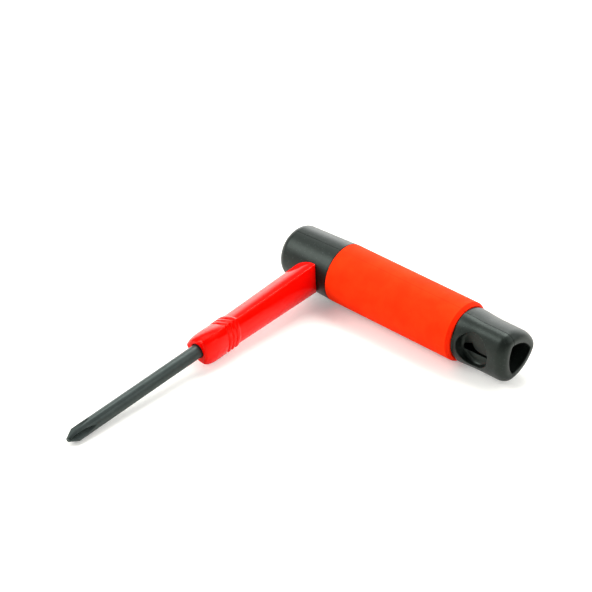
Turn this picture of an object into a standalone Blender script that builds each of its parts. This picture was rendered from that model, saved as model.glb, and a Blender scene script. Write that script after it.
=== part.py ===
"""Right-angle cross-point screwdriver: a trilobal blade carrier plugged across the head of a sleeved handle.

Lengths are in metres. The tool is modelled in its own frame: X runs along the handle from the
carrier's axis to the tail, -Y runs along the carrier to the blade's point, and Z is up. That frame
hangs on an empty which lays the tool down as it rests, on the sleeve and on the blade's shoulder.
"""

import math

import bmesh
import bpy
from mathutils import Matrix, Vector

MM = 0.001
AXES_SIZE = 10.0 * MM

# Points in every lofted outline, a multiple of six so that each arc of a trilobe gets the same share.
OUTLINE_POINTS = 48

# Soft sleeve over the handle.
GRIP_RADIUS = 13.14 * MM
SLEEVE_WALL = 1.7 * MM
SLEEVE_LENGTH = 67.6 * MM
SLEEVE_EDGE_ROUND = 0.5 * MM
SLEEVE_END_ROUND_LENGTH = 1.8 * MM
SLEEVE_END_DROP = 1.0 * MM
SLEEVE_CLEARANCE = 0.2 * MM

# Hard handle core, in two shells. Distances along the handle start at the carrier's axis.
HEAD_TO_SLEEVE = 11.1 * MM
HEAD_TO_DOME_END = 19.5 * MM
HEAD_STEP = 0.04 * MM
DOME_TAPER = 1.1 * MM
DOME_LENGTH = 6.4 * MM
DOME_FLAT_RADIUS = 0.2 * MM
COLLAR_SPREAD = 5.0 * MM
COLLAR_BELOW_GRIP = 0.52 * MM
COLLAR_STEP = 0.4 * MM
TAIL_LENGTH = 25.6 * MM
TAIL_STEP = 0.78 * MM
TAIL_BLEND = 11.0 * MM
TAIL_TURN = math.radians(-2.0)
TAIL_SHIFT = 0.7 * MM
END_ROUND_LENGTH = 4.5 * MM
RIM_WIDTH = 1.2 * MM
HEAD_WEB = 3.0 * MM
SEAM_FORWARD = 2.0 * MM
SEAM_GAP = 0.2 * MM

# Moulded locating pins between the shells.
PIN_RADIUS = 0.9 * MM
PIN_LENGTH = 2.2 * MM
PIN_CLEARANCE = 0.3 * MM
PIN_INSET = 7.0 * MM

# Round dish and fin-shaped window on the front of the tail.
DISH_FROM_SLEEVE = 9.6 * MM
DISH_RISE = 0.5 * MM
DISH_RADIUS = 7.9 * MM
DISH_FLOOR = 0.7 * MM
DISH_FLOOR_ROUND = 1.6 * MM
FIN_BEFORE_DISH = 5.5 * MM
FIN_BELOW_DISH = 1.9 * MM
FIN_ROUND = 1.6 * MM
FIN_TO_TIP = 10.6 * MM
FIN_TIP_WIDTH = 1.3 * MM
FIN_PEAK_ALONG = 2.65 * MM
FIN_PEAK_UP = 2.9 * MM
FIN_HOLLOW_POWER = 6

# Trilobal carrier. Widths are measured across any face and its opposite corner.
PLUG_WIDTH = 13.2 * MM
PLUG_PAST_AXIS = 7.5 * MM
PLUG_CHAMFER = 0.8 * MM
SOCKET_CLEARANCE = 0.2 * MM
SOCKET_END_CLEARANCE = 0.3 * MM
SHOULDER_CLEARANCE = 0.3 * MM
CORNER_ROUND = 0.7 * MM
ROOT_WIDTH = 14.6 * MM
WAIST_WIDTH = 13.1 * MM
NOSE_WIDTH = 14.1 * MM
NOSE_FACE_WIDTH = 9.8 * MM
NOSE_REACH = 78.8 * MM
NOSE_ROUND_LENGTH = 7.0 * MM
GROOVE_COUNT = 4
GROOVE_PITCH = 2.27 * MM
GROOVE_WIDTH = 1.1 * MM
GROOVE_DEPTH = 0.5 * MM
NOSE_TO_FIRST_GROOVE = 13.0 * MM

# Steel blade.
SHANK_RADIUS = 3.0 * MM
BLADE_EXPOSED = 73.6 * MM
BLADE_EMBEDDED = 47.4 * MM
BLADE_CLEARANCE = 0.25 * MM
ROOT_CHAMFER = 0.6 * MM
WING_WIDTH = 8.6 * MM
WING_THICKNESS = 3.2 * MM
WING_LENGTH = 8.0 * MM
WING_COUNT = 2
WING_PITCH = 15.0 * MM
WING_FROM_ROOT = 5.0 * MM
POINT_HALF_ANGLE = math.radians(26.5)
POINT_FLAT_RADIUS = 0.9 * MM
FLUTE_COUNT = 4
FLUTE_START = math.radians(18.0)
FLUTE_ANGLE = math.radians(92.0)
FLUTE_RISE = math.radians(5.75)
FLUTE_CORE = 0.6 * MM
FLUTE_STRAIGHT = 7.0 * MM
FLUTE_WHEEL_RADIUS = 17.0 * MM
FLUTE_RUN_OUT = 8.5 * MM

# Leaf springs that click into the ring groove round the plug.
SPRING_WIDTH = 4.0 * MM
SPRING_THICKNESS = 0.4 * MM
SPRING_HALF_LENGTH = 6.2 * MM
SPRING_BUMP_HALF_LENGTH = 2.4 * MM
SPRING_CLEARANCE = 0.3 * MM
SPRING_SLIT_LENGTH = 2.0 * MM
SPRING_FROM_AXIS = 1.0 * MM
CLICK_DEPTH = 0.5 * MM
CLICK_GROOVE_DEPTH = 0.8 * MM
CLICK_GROOVE_HALF_WIDTH = 2.0 * MM

# Derived places along the handle, and its radii, which all follow the grip.
SLEEVE_START = HEAD_TO_SLEEVE
SLEEVE_END = SLEEVE_START + SLEEVE_LENGTH
TAIL_END = SLEEVE_END + TAIL_LENGTH
CORE_RADIUS = GRIP_RADIUS - SLEEVE_WALL - SLEEVE_CLEARANCE
HEAD_RADIUS = GRIP_RADIUS - HEAD_STEP
DOME_RADIUS = HEAD_RADIUS - DOME_TAPER
COLLAR_ROUND = GRIP_RADIUS - COLLAR_BELOW_GRIP - COLLAR_SPREAD
DISH_CENTRE = SLEEVE_END + DISH_FROM_SLEEVE

# Derived sizes of the trilobes. The spread is the distance from the axis to a corner's centre.
PLUG_SPREAD = (PLUG_WIDTH - 2 * CORNER_ROUND) / math.sqrt(3)
SOCKET_ROUND = CORNER_ROUND + SOCKET_CLEARANCE
TAIL_ROUND = GRIP_RADIUS - TAIL_STEP - PLUG_SPREAD
TAIL_WALL = TAIL_ROUND - SOCKET_ROUND
PLUG_FACE = PLUG_SPREAD * (math.sqrt(3) - 1) + CORNER_ROUND
SOCKET_FACE = PLUG_FACE + SOCKET_CLEARANCE
TAIL_FACE = SOCKET_FACE + TAIL_WALL

# Derived places along the carrier, measured from the handle's axis.
POINT_LENGTH = (SHANK_RADIUS - POINT_FLAT_RADIUS) / math.tan(POINT_HALF_ANGLE)
TIP_REACH = NOSE_REACH + BLADE_EXPOSED
SHOULDER_REACH = TIP_REACH - POINT_LENGTH
BLADE_ROOT_REACH = NOSE_REACH - BLADE_EMBEDDED

# The leaf lies in a pocket behind the socket's face, with its bump reaching into the plug.
SPRING_CREST = PLUG_FACE - CLICK_DEPTH
SPRING_BACK = SOCKET_FACE + SPRING_CLEARANCE + 2 * SPRING_THICKNESS
POCKET_FLOOR = SPRING_BACK + SPRING_CLEARANCE
BORE_START = POCKET_FLOOR + HEAD_WEB

# A trilobe's faces stand a sixth of a turn from its corners, so one faces up and back by this much.
UP_TO_FACE = math.pi / 6

# The tool rolls about the handle until the shoulder of the point meets the ground.
LIE_ANGLE = math.asin(GRIP_RADIUS / math.hypot(SHOULDER_REACH, SHANK_RADIUS)) - math.atan2(
    SHANK_RADIUS, SHOULDER_REACH
)

# Quads of a loft that are twisted by more than this are split into triangles.
FLAT_ANGLE = math.radians(0.02)

# How far a cutter runs past the surface that it cuts.
CUT_PAST = 5.0 * MM
HALF_SPACE = 300.0 * MM

# Steps in each rounded stretch.
DOME_STEPS = 10
BLEND_STEPS = 5
END_STEPS = 8
EDGE_STEPS = 4
DISH_STEPS = 5
FIN_STEPS = 10
NOSE_STEPS = 8
FLUTE_STEPS = 10
BUMP_STEPS = 16
PIN_STEPS = 16


def clear_scene():
    for item in list(bpy.data.objects):
        bpy.data.objects.remove(item, do_unlink=True)


def make_material(name, colour, roughness, metallic=0.0):
    material = bpy.data.materials.new(name)
    material.use_nodes = True
    shader = material.node_tree.nodes["Principled BSDF"]
    shader.inputs["Base Color"].default_value = (*colour, 1.0)
    shader.inputs["Roughness"].default_value = roughness
    shader.inputs["Metallic"].default_value = metallic
    material.diffuse_color = (*colour, 1.0)
    return material


def make_empty(name, parent=None):
    empty = bpy.data.objects.new(name, None)
    empty.empty_display_size = AXES_SIZE
    empty.parent = parent
    bpy.context.scene.collection.objects.link(empty)
    return empty


def make_object(name, mesh, parent, material=None):
    item = bpy.data.objects.new(name, mesh)
    item.parent = parent
    if material:
        mesh.materials.append(material)
    mesh.shade_smooth()
    mesh.set_sharp_from_angle(angle=math.radians(35))
    bpy.context.scene.collection.objects.link(item)
    return item


def make_cutter(name, mesh, parent):
    cutter = make_object(name, mesh, parent)
    cutter.hide_render = True
    cutter.display_type = "WIRE"
    return cutter


def boolean(item, operation, other):
    modifier = item.modifiers.new(f"{operation.lower()}_{other.name}", "BOOLEAN")
    modifier.operation = operation
    modifier.solver = "EXACT"
    modifier.object = other


def finish_mesh(name, shape):
    bmesh.ops.recalc_face_normals(shape, faces=shape.faces)
    mesh = bpy.data.meshes.new(name)
    shape.to_mesh(mesh)
    shape.free()
    return mesh


def loft(name, rings):
    """A closed mesh through rings of points, each with the same count, capped at both ends."""
    shape = bmesh.new()
    rows = [[shape.verts.new(point) for point in ring] for ring in rings]
    count = len(rows[0])
    for lower, upper in zip(rows, rows[1:]):
        for i in range(count):
            j = (i + 1) % count
            shape.faces.new((lower[i], lower[j], upper[j], upper[i]))
    bmesh.ops.connect_verts_nonplanar(shape, angle_limit=FLAT_ANGLE, faces=shape.faces)
    shape.faces.new(rows[0])
    shape.faces.new(rows[-1])
    return finish_mesh(name, shape)


def tube(name, rings):
    """A closed ring-shaped mesh: the last ring of points joins the first."""
    shape = bmesh.new()
    rows = [[shape.verts.new(point) for point in ring] for ring in rings]
    count = len(rows[0])
    for lower, upper in zip(rows, rows[1:] + rows[:1]):
        for i in range(count):
            j = (i + 1) % count
            shape.faces.new((lower[i], lower[j], upper[j], upper[i]))
    return finish_mesh(name, shape)


def box(name, low, high):
    shape = bmesh.new()
    bmesh.ops.create_cube(shape, size=1.0)
    size = Vector(high) - Vector(low)
    middle = (Vector(high) + Vector(low)) / 2
    for vert in shape.verts:
        vert.co = Vector(a * b for a, b in zip(vert.co, size)) + middle
    return finish_mesh(name, shape)


def trilobe(spread, rounding, first_corner):
    """A Reuleaux triangle with corners spread from the middle, grown by rounding: a circle if spread is 0.

    Each point is worked out from the direction that the outline faces there, so two trilobes with
    different sizes match point for point.
    """
    sixth_turn = math.pi / 3
    outline = []
    for step in range(OUTLINE_POINTS):
        facing = 2 * math.pi * (step + 0.5) / OUTLINE_POINTS
        sixth = round((facing - first_corner) / sixth_turn)
        middle = first_corner + sixth * sixth_turn
        on_corner = sixth % 2 == 0
        radius = rounding if on_corner else rounding + spread * math.sqrt(3)
        offset = spread if on_corner else -spread
        outline.append(
            (
                offset * math.cos(middle) + radius * math.cos(facing),
                offset * math.sin(middle) + radius * math.sin(facing),
            )
        )
    return outline


def handle_ring(x, spread, rounding):
    """A section across the handle, with one corner to the back and its middle shifted as it spreads."""
    shift = TAIL_SHIFT * spread / PLUG_SPREAD
    return [Vector((x, y + shift, z)) for y, z in trilobe(spread, rounding, TAIL_TURN)]


def carrier_ring(reach, spread, rounding):
    """A section across the carrier, with one corner towards the dome and one face towards the tail."""
    return [Vector((x, -reach, z)) for x, z in trilobe(spread, rounding, math.pi)]


def width_ring(reach, width):
    """A section across the carrier of a given width, with the carrier's own corner rounding."""
    return carrier_ring(reach, (width - 2 * CORNER_ROUND) / math.sqrt(3), CORNER_ROUND)


def turned(name, profile):
    """A solid of revolution about the carrier's axis, from (reach, radius) pairs."""
    return loft(name, [carrier_ring(reach, 0.0, radius) for reach, radius in profile])


def quarter_round(steps):
    """Pairs (along, in) of a quarter ellipse of unit size, from the straight side to the end."""
    for i in range(1, steps + 1):
        angle = math.pi / 2 * i / steps
        yield math.sin(angle), 1 - math.cos(angle)


def eased(start, end):
    """Sections (x, spread, rounding) from start to end, both included, level at both ends."""
    for i in range(BLEND_STEPS + 1):
        share = i / BLEND_STEPS
        ease = share * share * (3 - 2 * share)
        x = start[0] + share * (end[0] - start[0])
        yield x, start[1] + ease * (end[1] - start[1]), start[2] + ease * (end[2] - start[2])


def core_sections():
    """Sections (x, spread, rounding) of the handle core from the dome to the tail's rim."""
    dome_start = -HEAD_TO_DOME_END + DOME_LENGTH
    dome = [(dome_start, 0.0, DOME_RADIUS)]
    for along, inwards in quarter_round(DOME_STEPS):
        radius = DOME_RADIUS - inwards * (DOME_RADIUS - DOME_FLAT_RADIUS)
        dome.append((dome_start - along * DOME_LENGTH, 0.0, radius))
    sections = dome[::-1]
    sections.append((SLEEVE_START, 0.0, HEAD_RADIUS))
    sections.append((SLEEVE_START, 0.0, CORE_RADIUS))
    sections.append((SLEEVE_END, 0.0, CORE_RADIUS))
    collar = (SLEEVE_END + COLLAR_STEP, COLLAR_SPREAD, COLLAR_ROUND)
    sections += eased(collar, (SLEEVE_END + TAIL_BLEND, PLUG_SPREAD, TAIL_ROUND))
    round_start = TAIL_END - END_ROUND_LENGTH
    sections.append((round_start, PLUG_SPREAD, TAIL_ROUND))
    for along, inwards in quarter_round(END_STEPS):
        rounding = TAIL_ROUND - inwards * (TAIL_WALL - RIM_WIDTH)
        sections.append((round_start + along * END_ROUND_LENGTH, PLUG_SPREAD, rounding))
    return sections


def make_sleeve(tool, material):
    inner = CORE_RADIUS + SLEEVE_CLEARANCE
    start = SLEEVE_START + SLEEVE_CLEARANCE
    end = SLEEVE_END - SLEEVE_CLEARANCE
    rings = [handle_ring(start, 0.0, inner)]
    for along, inwards in reversed(list(quarter_round(EDGE_STEPS))):
        x = start + SLEEVE_EDGE_ROUND * (1 - along)
        rings.append(handle_ring(x, 0.0, GRIP_RADIUS - SLEEVE_EDGE_ROUND * inwards))
    rings.append(handle_ring(start + SLEEVE_EDGE_ROUND, 0.0, GRIP_RADIUS))
    rings.append(handle_ring(end - SLEEVE_END_ROUND_LENGTH, 0.0, GRIP_RADIUS))
    for along, inwards in quarter_round(EDGE_STEPS):
        x = end - SLEEVE_END_ROUND_LENGTH * (1 - along)
        rings.append(handle_ring(x, 0.0, GRIP_RADIUS - SLEEVE_END_DROP * inwards))
    rings.append(handle_ring(end, 0.0, inner))
    return make_object("grip_sleeve", tube("grip_sleeve", rings), tool, material)


def spring_places():
    """Matrices that place a leaf: local X along the leaf, Y across it, Z outwards from the socket's axis."""
    head = Matrix(((0, 0, 1), (1, 0, 0), (0, 1, 0))).to_4x4()
    head.translation = (0.0, -SPRING_FROM_AXIS, 0.0)
    groove_from_shoulder = HEAD_RADIUS - SPRING_FROM_AXIS
    tail = Matrix.Rotation(TAIL_TURN - UP_TO_FACE, 4, "X")
    tail.translation = (TAIL_END - groove_from_shoulder, TAIL_SHIFT, 0.0)
    return {"head": head, "tail": tail}


def leaf_middle(along):
    """Height of the leaf's middle line: flat ends and one rounded bump."""
    flat = SPRING_BACK - SPRING_THICKNESS / 2
    rise = flat - (SPRING_CREST + SPRING_THICKNESS / 2)
    if abs(along) >= SPRING_BUMP_HALF_LENGTH:
        return flat
    return flat - rise * (1 + math.cos(math.pi * along / SPRING_BUMP_HALF_LENGTH)) / 2


def make_spring(name, place, tool, material):
    stations = [-SPRING_HALF_LENGTH]
    for i in range(BUMP_STEPS + 1):
        stations.append(SPRING_BUMP_HALF_LENGTH * (2 * i / BUMP_STEPS - 1))
    stations.append(SPRING_HALF_LENGTH)
    half_width = SPRING_WIDTH / 2
    half_thickness = SPRING_THICKNESS / 2
    rings = []
    for along in stations:
        middle = leaf_middle(along)
        corners = ((-1, -1), (1, -1), (1, 1), (-1, 1))
        rings.append(
            [place @ Vector((along, a * half_width, middle + b * half_thickness)) for a, b in corners]
        )
    return make_object(name, loft(name, rings), tool, material)


def spring_pocket_cutter(name, place, tool):
    """A pocket that is open round the bump, with slits at both ends that trap the leaf."""
    half_width = SPRING_WIDTH / 2 + SPRING_CLEARANCE
    reach = SPRING_HALF_LENGTH + SPRING_CLEARANCE
    open_reach = reach - SPRING_SLIT_LENGTH
    slit_top = SPRING_BACK - SPRING_THICKNESS - SPRING_CLEARANCE
    right = [(open_reach, 0.0), (open_reach, slit_top), (reach, slit_top), (reach, POCKET_FLOOR)]
    outline = right + [(-along, height) for along, height in reversed(right)]
    rings = []
    for across in (-half_width, half_width):
        rings.append([place @ Vector((along, across, height)) for along, height in outline])
    return make_cutter(f"{name}_pocket", loft(f"{name}_pocket", rings), tool)


def pin_places():
    """Middles of the locating pins on the seam, in the core's wall under the sleeve."""
    height = (CORE_RADIUS + PLUG_WIDTH / 2) / 2
    for x in (SLEEVE_START + PIN_INSET, SLEEVE_END - PIN_INSET):
        for side in (1, -1):
            yield x, side * height


def pin(name, x, z, radius, front, back):
    """A round pin across the seam, from front to back along Y."""
    turns = [2 * math.pi * i / PIN_STEPS for i in range(PIN_STEPS)]
    rings = []
    for y in (front, back):
        rings.append([Vector((x + radius * math.cos(t), y, z + radius * math.sin(t))) for t in turns])
    return loft(name, rings)


def dish_place():
    """Matrix that puts a cutter on the tail's front face: local -Y is the face's outward normal."""
    place = Matrix.Rotation(TAIL_TURN, 4, "X")
    place.translation = place @ Vector((DISH_CENTRE, 0.0, DISH_RISE)) + Vector((0.0, TAIL_SHIFT, 0.0))
    return place


def dish_cutter(tool):
    """A round pocket in the front of the tail, with a rounded edge to its floor."""
    floor = SOCKET_FACE + DISH_FLOOR
    profile = [(TAIL_FACE + CUT_PAST, DISH_RADIUS), (floor + DISH_FLOOR_ROUND, DISH_RADIUS)]
    for along, inwards in quarter_round(DISH_STEPS):
        profile.append((floor + DISH_FLOOR_ROUND * (1 - along), DISH_RADIUS - DISH_FLOOR_ROUND * inwards))
    place = dish_place()
    turns = [2 * math.pi * i / OUTLINE_POINTS for i in range(OUTLINE_POINTS)]
    rings = []
    for height, radius in profile:
        rings.append([place @ Vector((radius * math.cos(t), -height, radius * math.sin(t))) for t in turns])
    return make_cutter("dish_cut", loft("dish_cut", rings), tool)


def fin_outline():
    """The window's outline about its round end: a straight lower edge, and a hollow edge up to a peak."""
    points = []
    for i in range(FIN_STEPS + 1):
        angle = math.pi / 2 + math.pi * i / FIN_STEPS
        points.append((FIN_ROUND * math.cos(angle), FIN_ROUND * math.sin(angle)))
    low = -FIN_ROUND
    high = low + FIN_TIP_WIDTH
    points.append((FIN_TO_TIP, low))
    for i in range(FIN_STEPS + 1):
        share = i / FIN_STEPS
        x = FIN_TO_TIP + share * (FIN_PEAK_ALONG - FIN_TO_TIP)
        points.append((x, high + (FIN_PEAK_UP - high) * share**FIN_HOLLOW_POWER))
    return points


def fin_cutter(tool):
    place = dish_place()
    outline = fin_outline()
    rings = []
    for y in (-TAIL_FACE - CUT_PAST, -SOCKET_FACE + CUT_PAST):
        rings.append([place @ Vector((x - FIN_BEFORE_DISH, y, z - FIN_BELOW_DISH)) for x, z in outline])
    return make_cutter("fin_cut", loft("fin_cut", rings), tool)


def make_shells(tool, material):
    """The two halves of the core, cut from one outside shape along the seam."""
    outside = loft("core", [handle_ring(*section) for section in core_sections()])
    front = make_object("front_shell", outside, tool, material)
    rear = make_object("rear_shell", outside.copy(), tool)
    socket_end = -PLUG_PAST_AXIS - SOCKET_END_CLEARANCE
    socket_mouth = HEAD_RADIUS + CUT_PAST
    head_rings = [carrier_ring(reach, PLUG_SPREAD, SOCKET_ROUND) for reach in (socket_end, socket_mouth)]
    bore_rings = [handle_ring(x, PLUG_SPREAD, SOCKET_ROUND) for x in (BORE_START, TAIL_END + CUT_PAST)]
    places = spring_places()
    shared = (
        make_cutter("head_socket_cut", loft("head_socket_cut", head_rings), tool),
        make_cutter("tail_bore_cut", loft("tail_bore_cut", bore_rings), tool),
        spring_pocket_cutter("head_spring", places["head"], tool),
    )
    for cutter in shared:
        boolean(front, "DIFFERENCE", cutter)
        boolean(rear, "DIFFERENCE", cutter)
    boolean(rear, "DIFFERENCE", spring_pocket_cutter("tail_spring", places["tail"], tool))
    boolean(front, "DIFFERENCE", dish_cutter(tool))
    boolean(front, "DIFFERENCE", fin_cutter(tool))

    seam_front = -SEAM_FORWARD - SEAM_GAP / 2
    seam_rear = -SEAM_FORWARD + SEAM_GAP / 2
    far = HALF_SPACE
    front_half = box("front_half", (-far, -far, -far), (far, seam_front, far))
    rear_half = box("rear_half", (-far, seam_rear, -far), (far, far, far))
    boolean(front, "INTERSECT", make_cutter("front_half", front_half, tool))
    boolean(rear, "INTERSECT", make_cutter("rear_half", rear_half, tool))

    for number, (x, z) in enumerate(pin_places()):
        pin_front = seam_rear - SEAM_GAP - PIN_LENGTH
        solid = pin(f"pin_{number}", x, z, PIN_RADIUS, pin_front, seam_rear + PIN_RADIUS)
        boolean(rear, "UNION", make_cutter(solid.name, solid, tool))
        hole_radius = PIN_RADIUS + PIN_CLEARANCE
        hole = pin(f"pin_hole_{number}", x, z, hole_radius, pin_front - PIN_CLEARANCE, seam_rear)
        boolean(front, "DIFFERENCE", make_cutter(hole.name, hole, tool))
    return front, rear


def carrier_stations():
    """(reach, width) along the carrier outside the head: taper, grooves, nose and its rounded end."""
    first_groove = NOSE_REACH - NOSE_TO_FIRST_GROOVE - (GROOVE_COUNT - 1) * GROOVE_PITCH
    groove_edge = GROOVE_WIDTH / 2
    groove_floor = GROOVE_WIDTH / 4
    floor_width = NOSE_WIDTH - 2 * GROOVE_DEPTH
    start = HEAD_RADIUS / 2
    rib_start = first_groove - groove_edge
    taper = (ROOT_WIDTH - WAIST_WIDTH) / (rib_start - HEAD_RADIUS)
    stations = [(start, ROOT_WIDTH + taper * (HEAD_RADIUS - start)), (rib_start, WAIST_WIDTH)]
    for number in range(GROOVE_COUNT):
        middle = first_groove + number * GROOVE_PITCH
        if number:
            stations.append((middle - groove_edge, NOSE_WIDTH))
        stations.append((middle - groove_floor, floor_width if number else WAIST_WIDTH))
        stations.append((middle + groove_floor, floor_width))
        stations.append((middle + groove_edge, NOSE_WIDTH))
    round_start = NOSE_REACH - NOSE_ROUND_LENGTH
    stations.append((round_start, NOSE_WIDTH))
    for along, inwards in quarter_round(NOSE_STEPS):
        width = NOSE_WIDTH - inwards * (NOSE_WIDTH - NOSE_FACE_WIDTH)
        stations.append((round_start + along * NOSE_ROUND_LENGTH, width))
    return stations


def plug_rings():
    """Sections of the plug from its end inside the head, past the click groove, to inside the carrier."""
    end = -PLUG_PAST_AXIS
    groove_start = SPRING_FROM_AXIS - CLICK_GROOVE_HALF_WIDTH
    groove_end = SPRING_FROM_AXIS + CLICK_GROOVE_HALF_WIDTH
    groove_width = PLUG_WIDTH - 2 * CLICK_GROOVE_DEPTH
    stations = (
        (end, PLUG_WIDTH - 2 * PLUG_CHAMFER),
        (end + PLUG_CHAMFER, PLUG_WIDTH),
        (groove_start, PLUG_WIDTH),
        (groove_start, groove_width),
        (groove_end, groove_width),
        (groove_end, PLUG_WIDTH),
        (HEAD_RADIUS + CUT_PAST, PLUG_WIDTH),
    )
    return [width_ring(reach, width) for reach, width in stations]


def blade_shapes(grow):
    """The shank and its root wings, grown by a clearance: (name, mesh) pairs."""
    root = BLADE_ROOT_REACH - grow
    profile = [
        (root, SHANK_RADIUS - ROOT_CHAMFER + grow),
        (root + ROOT_CHAMFER, SHANK_RADIUS + grow),
        (SHOULDER_REACH, SHANK_RADIUS + grow),
        (TIP_REACH, POINT_FLAT_RADIUS + grow),
    ]
    shapes = [("shank", turned("shank", profile))]
    half_width = WING_WIDTH / 2 + grow
    half_thickness = WING_THICKNESS / 2 + grow
    for number in range(WING_COUNT):
        near = BLADE_ROOT_REACH + WING_FROM_ROOT + number * WING_PITCH
        low = (-half_width, -near - WING_LENGTH - grow, -half_thickness)
        high = (half_width, -near + grow, half_thickness)
        shapes.append((f"wing_{number}", box(f"wing_{number}", low, high)))
    return shapes


def flute_depth(back):
    """Distance from the blade's axis to the bottom of a flute, at a distance back from the tip."""
    straight = FLUTE_CORE + back * math.tan(FLUTE_RISE)
    past = back - FLUTE_STRAIGHT
    if past <= 0:
        return straight
    return straight + FLUTE_WHEEL_RADIUS - math.sqrt(FLUTE_WHEEL_RADIUS**2 - past**2)


def flute_cutter(number, carrier):
    """A V-shaped flute that rises slowly from the tip and runs out along the grinding wheel's arc."""
    backs = [-CUT_PAST, FLUTE_STRAIGHT]
    backs += [FLUTE_STRAIGHT + FLUTE_RUN_OUT * (i + 1) / FLUTE_STEPS for i in range(FLUTE_STEPS)]
    turn = FLUTE_START + number * 2 * math.pi / FLUTE_COUNT
    outwards = Vector((math.cos(turn), 0.0, math.sin(turn)))
    across = Vector((-math.sin(turn), 0.0, math.cos(turn)))
    depth = SHANK_RADIUS + CUT_PAST
    half_width = depth * math.tan(FLUTE_ANGLE / 2)
    rings = []
    for back in backs:
        bottom = Vector((0.0, back - TIP_REACH, 0.0)) + outwards * flute_depth(max(back, 0.0))
        side = outwards * depth
        rings.append([bottom, bottom + side + across * half_width, bottom + side - across * half_width])
    return make_cutter(f"flute_{number}", loft(f"flute_{number}", rings), carrier)


def make_blade(carrier, material):
    (_, shank), *wings = blade_shapes(0.0)
    blade = make_object("driver_blade", shank, carrier, material)
    for name, mesh in wings:
        boolean(blade, "UNION", make_cutter(name, mesh, carrier))
    for number in range(FLUTE_COUNT):
        boolean(blade, "DIFFERENCE", flute_cutter(number, carrier))
    return blade


def make_carrier(carrier, material):
    arm = loft("blade_carrier", [width_ring(*station) for station in carrier_stations()])
    item = make_object("blade_carrier", arm, carrier, material)
    grown = [(x, spread, rounding + SHOULDER_CLEARANCE) for x, spread, rounding in core_sections()]
    saddle = loft("saddle_cut", [handle_ring(*section) for section in grown])
    boolean(item, "DIFFERENCE", make_cutter("saddle_cut", saddle, carrier))
    boolean(item, "UNION", make_cutter("plug", loft("plug", plug_rings()), carrier))
    for name, mesh in blade_shapes(BLADE_CLEARANCE):
        boolean(item, "DIFFERENCE", make_cutter(f"{name}_bed", mesh, carrier))
    return item


def make_frame():
    """The empty that lays the tool down, with the middle of its footprint at the origin."""
    tool = make_empty("tool")
    tool.rotation_euler = (LIE_ANGLE, 0.0, 0.0)
    middle_x = (TAIL_END - HEAD_TO_DOME_END) / 2
    reach_y = TIP_REACH * math.cos(LIE_ANGLE) - POINT_FLAT_RADIUS * math.sin(LIE_ANGLE)
    middle_y = (GRIP_RADIUS - reach_y) / 2
    tool.location = (-middle_x, -middle_y, GRIP_RADIUS)
    return tool


def main():
    clear_scene()
    tool = make_frame()
    slide = make_empty("carrier_slide", tool)

    black = make_material("black_core_plastic", (0.035, 0.04, 0.038), 0.45)
    sleeve_rubber = make_material("orange_red_rubber", (0.80, 0.055, 0.012), 0.75)
    red_plastic = make_material("glossy_red_plastic", (0.75, 0.008, 0.004), 0.2)
    blade_steel = make_material("black_oxide_steel", (0.045, 0.052, 0.05), 0.38, 0.8)
    spring_steel = make_material("spring_steel", (0.55, 0.55, 0.54), 0.3, 1.0)

    make_shells(tool, black)
    make_sleeve(tool, sleeve_rubber)
    for end, place in spring_places().items():
        make_spring(f"{end}_spring", place, tool, spring_steel)
    make_carrier(slide, red_plastic)
    make_blade(slide, blade_steel)


main()
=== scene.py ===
"""Dressed look of a right-angle cross-point screwdriver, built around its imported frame.

The file is laid out as an add-on and run as a script. Every piece is made in the tool's own frame:
X runs along the handle from the carrier's axis to the tail, -Y runs along the carrier to the
blade's point, and Z is up. Lengths are in metres.
"""

import math
from types import SimpleNamespace

import bmesh
import bpy
from bpy.props import FloatProperty, FloatVectorProperty, IntProperty, PointerProperty
from bpy.types import Operator, Panel, PropertyGroup
from mathutils import Matrix, Vector


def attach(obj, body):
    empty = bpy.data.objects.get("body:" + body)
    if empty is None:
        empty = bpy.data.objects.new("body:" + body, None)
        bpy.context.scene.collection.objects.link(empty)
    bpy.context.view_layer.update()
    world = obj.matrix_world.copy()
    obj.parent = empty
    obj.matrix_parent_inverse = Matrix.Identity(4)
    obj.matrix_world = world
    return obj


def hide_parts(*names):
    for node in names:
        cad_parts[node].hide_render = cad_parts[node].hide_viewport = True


bl_info = {
    "name": "Right-angle screwdriver",
    "version": (1, 0, 0),
    "blender": (4, 5, 0),
    "location": "3D View > Sidebar > Screwdriver",
    "description": "Builds the dressed pieces of a right-angle screwdriver on its packed frame",
    "category": "Object",
}

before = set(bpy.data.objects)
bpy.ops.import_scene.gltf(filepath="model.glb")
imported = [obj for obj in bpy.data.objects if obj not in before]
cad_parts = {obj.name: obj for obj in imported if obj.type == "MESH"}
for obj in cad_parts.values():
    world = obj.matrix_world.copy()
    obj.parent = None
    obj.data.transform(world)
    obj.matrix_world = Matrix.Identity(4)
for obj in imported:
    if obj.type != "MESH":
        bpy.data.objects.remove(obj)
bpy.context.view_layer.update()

MM = 0.001

# Points round every section, a multiple of six so that each arc of a trilobe gets the same share.
OUTLINE_POINTS = 120

# Steps in each rounded stretch.
DOME_STEPS = 30
BLEND_STEPS = 16
END_STEPS = 16
EDGE_STEPS = 6
MOUTH_STEPS = 5
DISH_STEPS = 8
FIN_STEPS = 20
GROOVE_STEPS = 10
NOSE_STEPS = 26
FLUTE_STEPS = 24
PIN_STEPS = 24

# A rounded mouth stops short of a right angle, so that it crosses the surface cleanly.
MOUTH_SWEEP = math.radians(75)
MOUTH_PROUD = 0.05 * MM

# How far a cutter runs past the surface that it cuts, and how far a block reaches that keeps one half.
CUT_PAST = 5.0 * MM
HALF_SPACE = 300.0 * MM

# From straight up to the nearest face of the tail, which has a corner at the back.
UP_TO_FACE = math.pi / 6

# Edges that turn by more than this stay crisp.
SHARP_ANGLE = math.radians(32)

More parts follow.
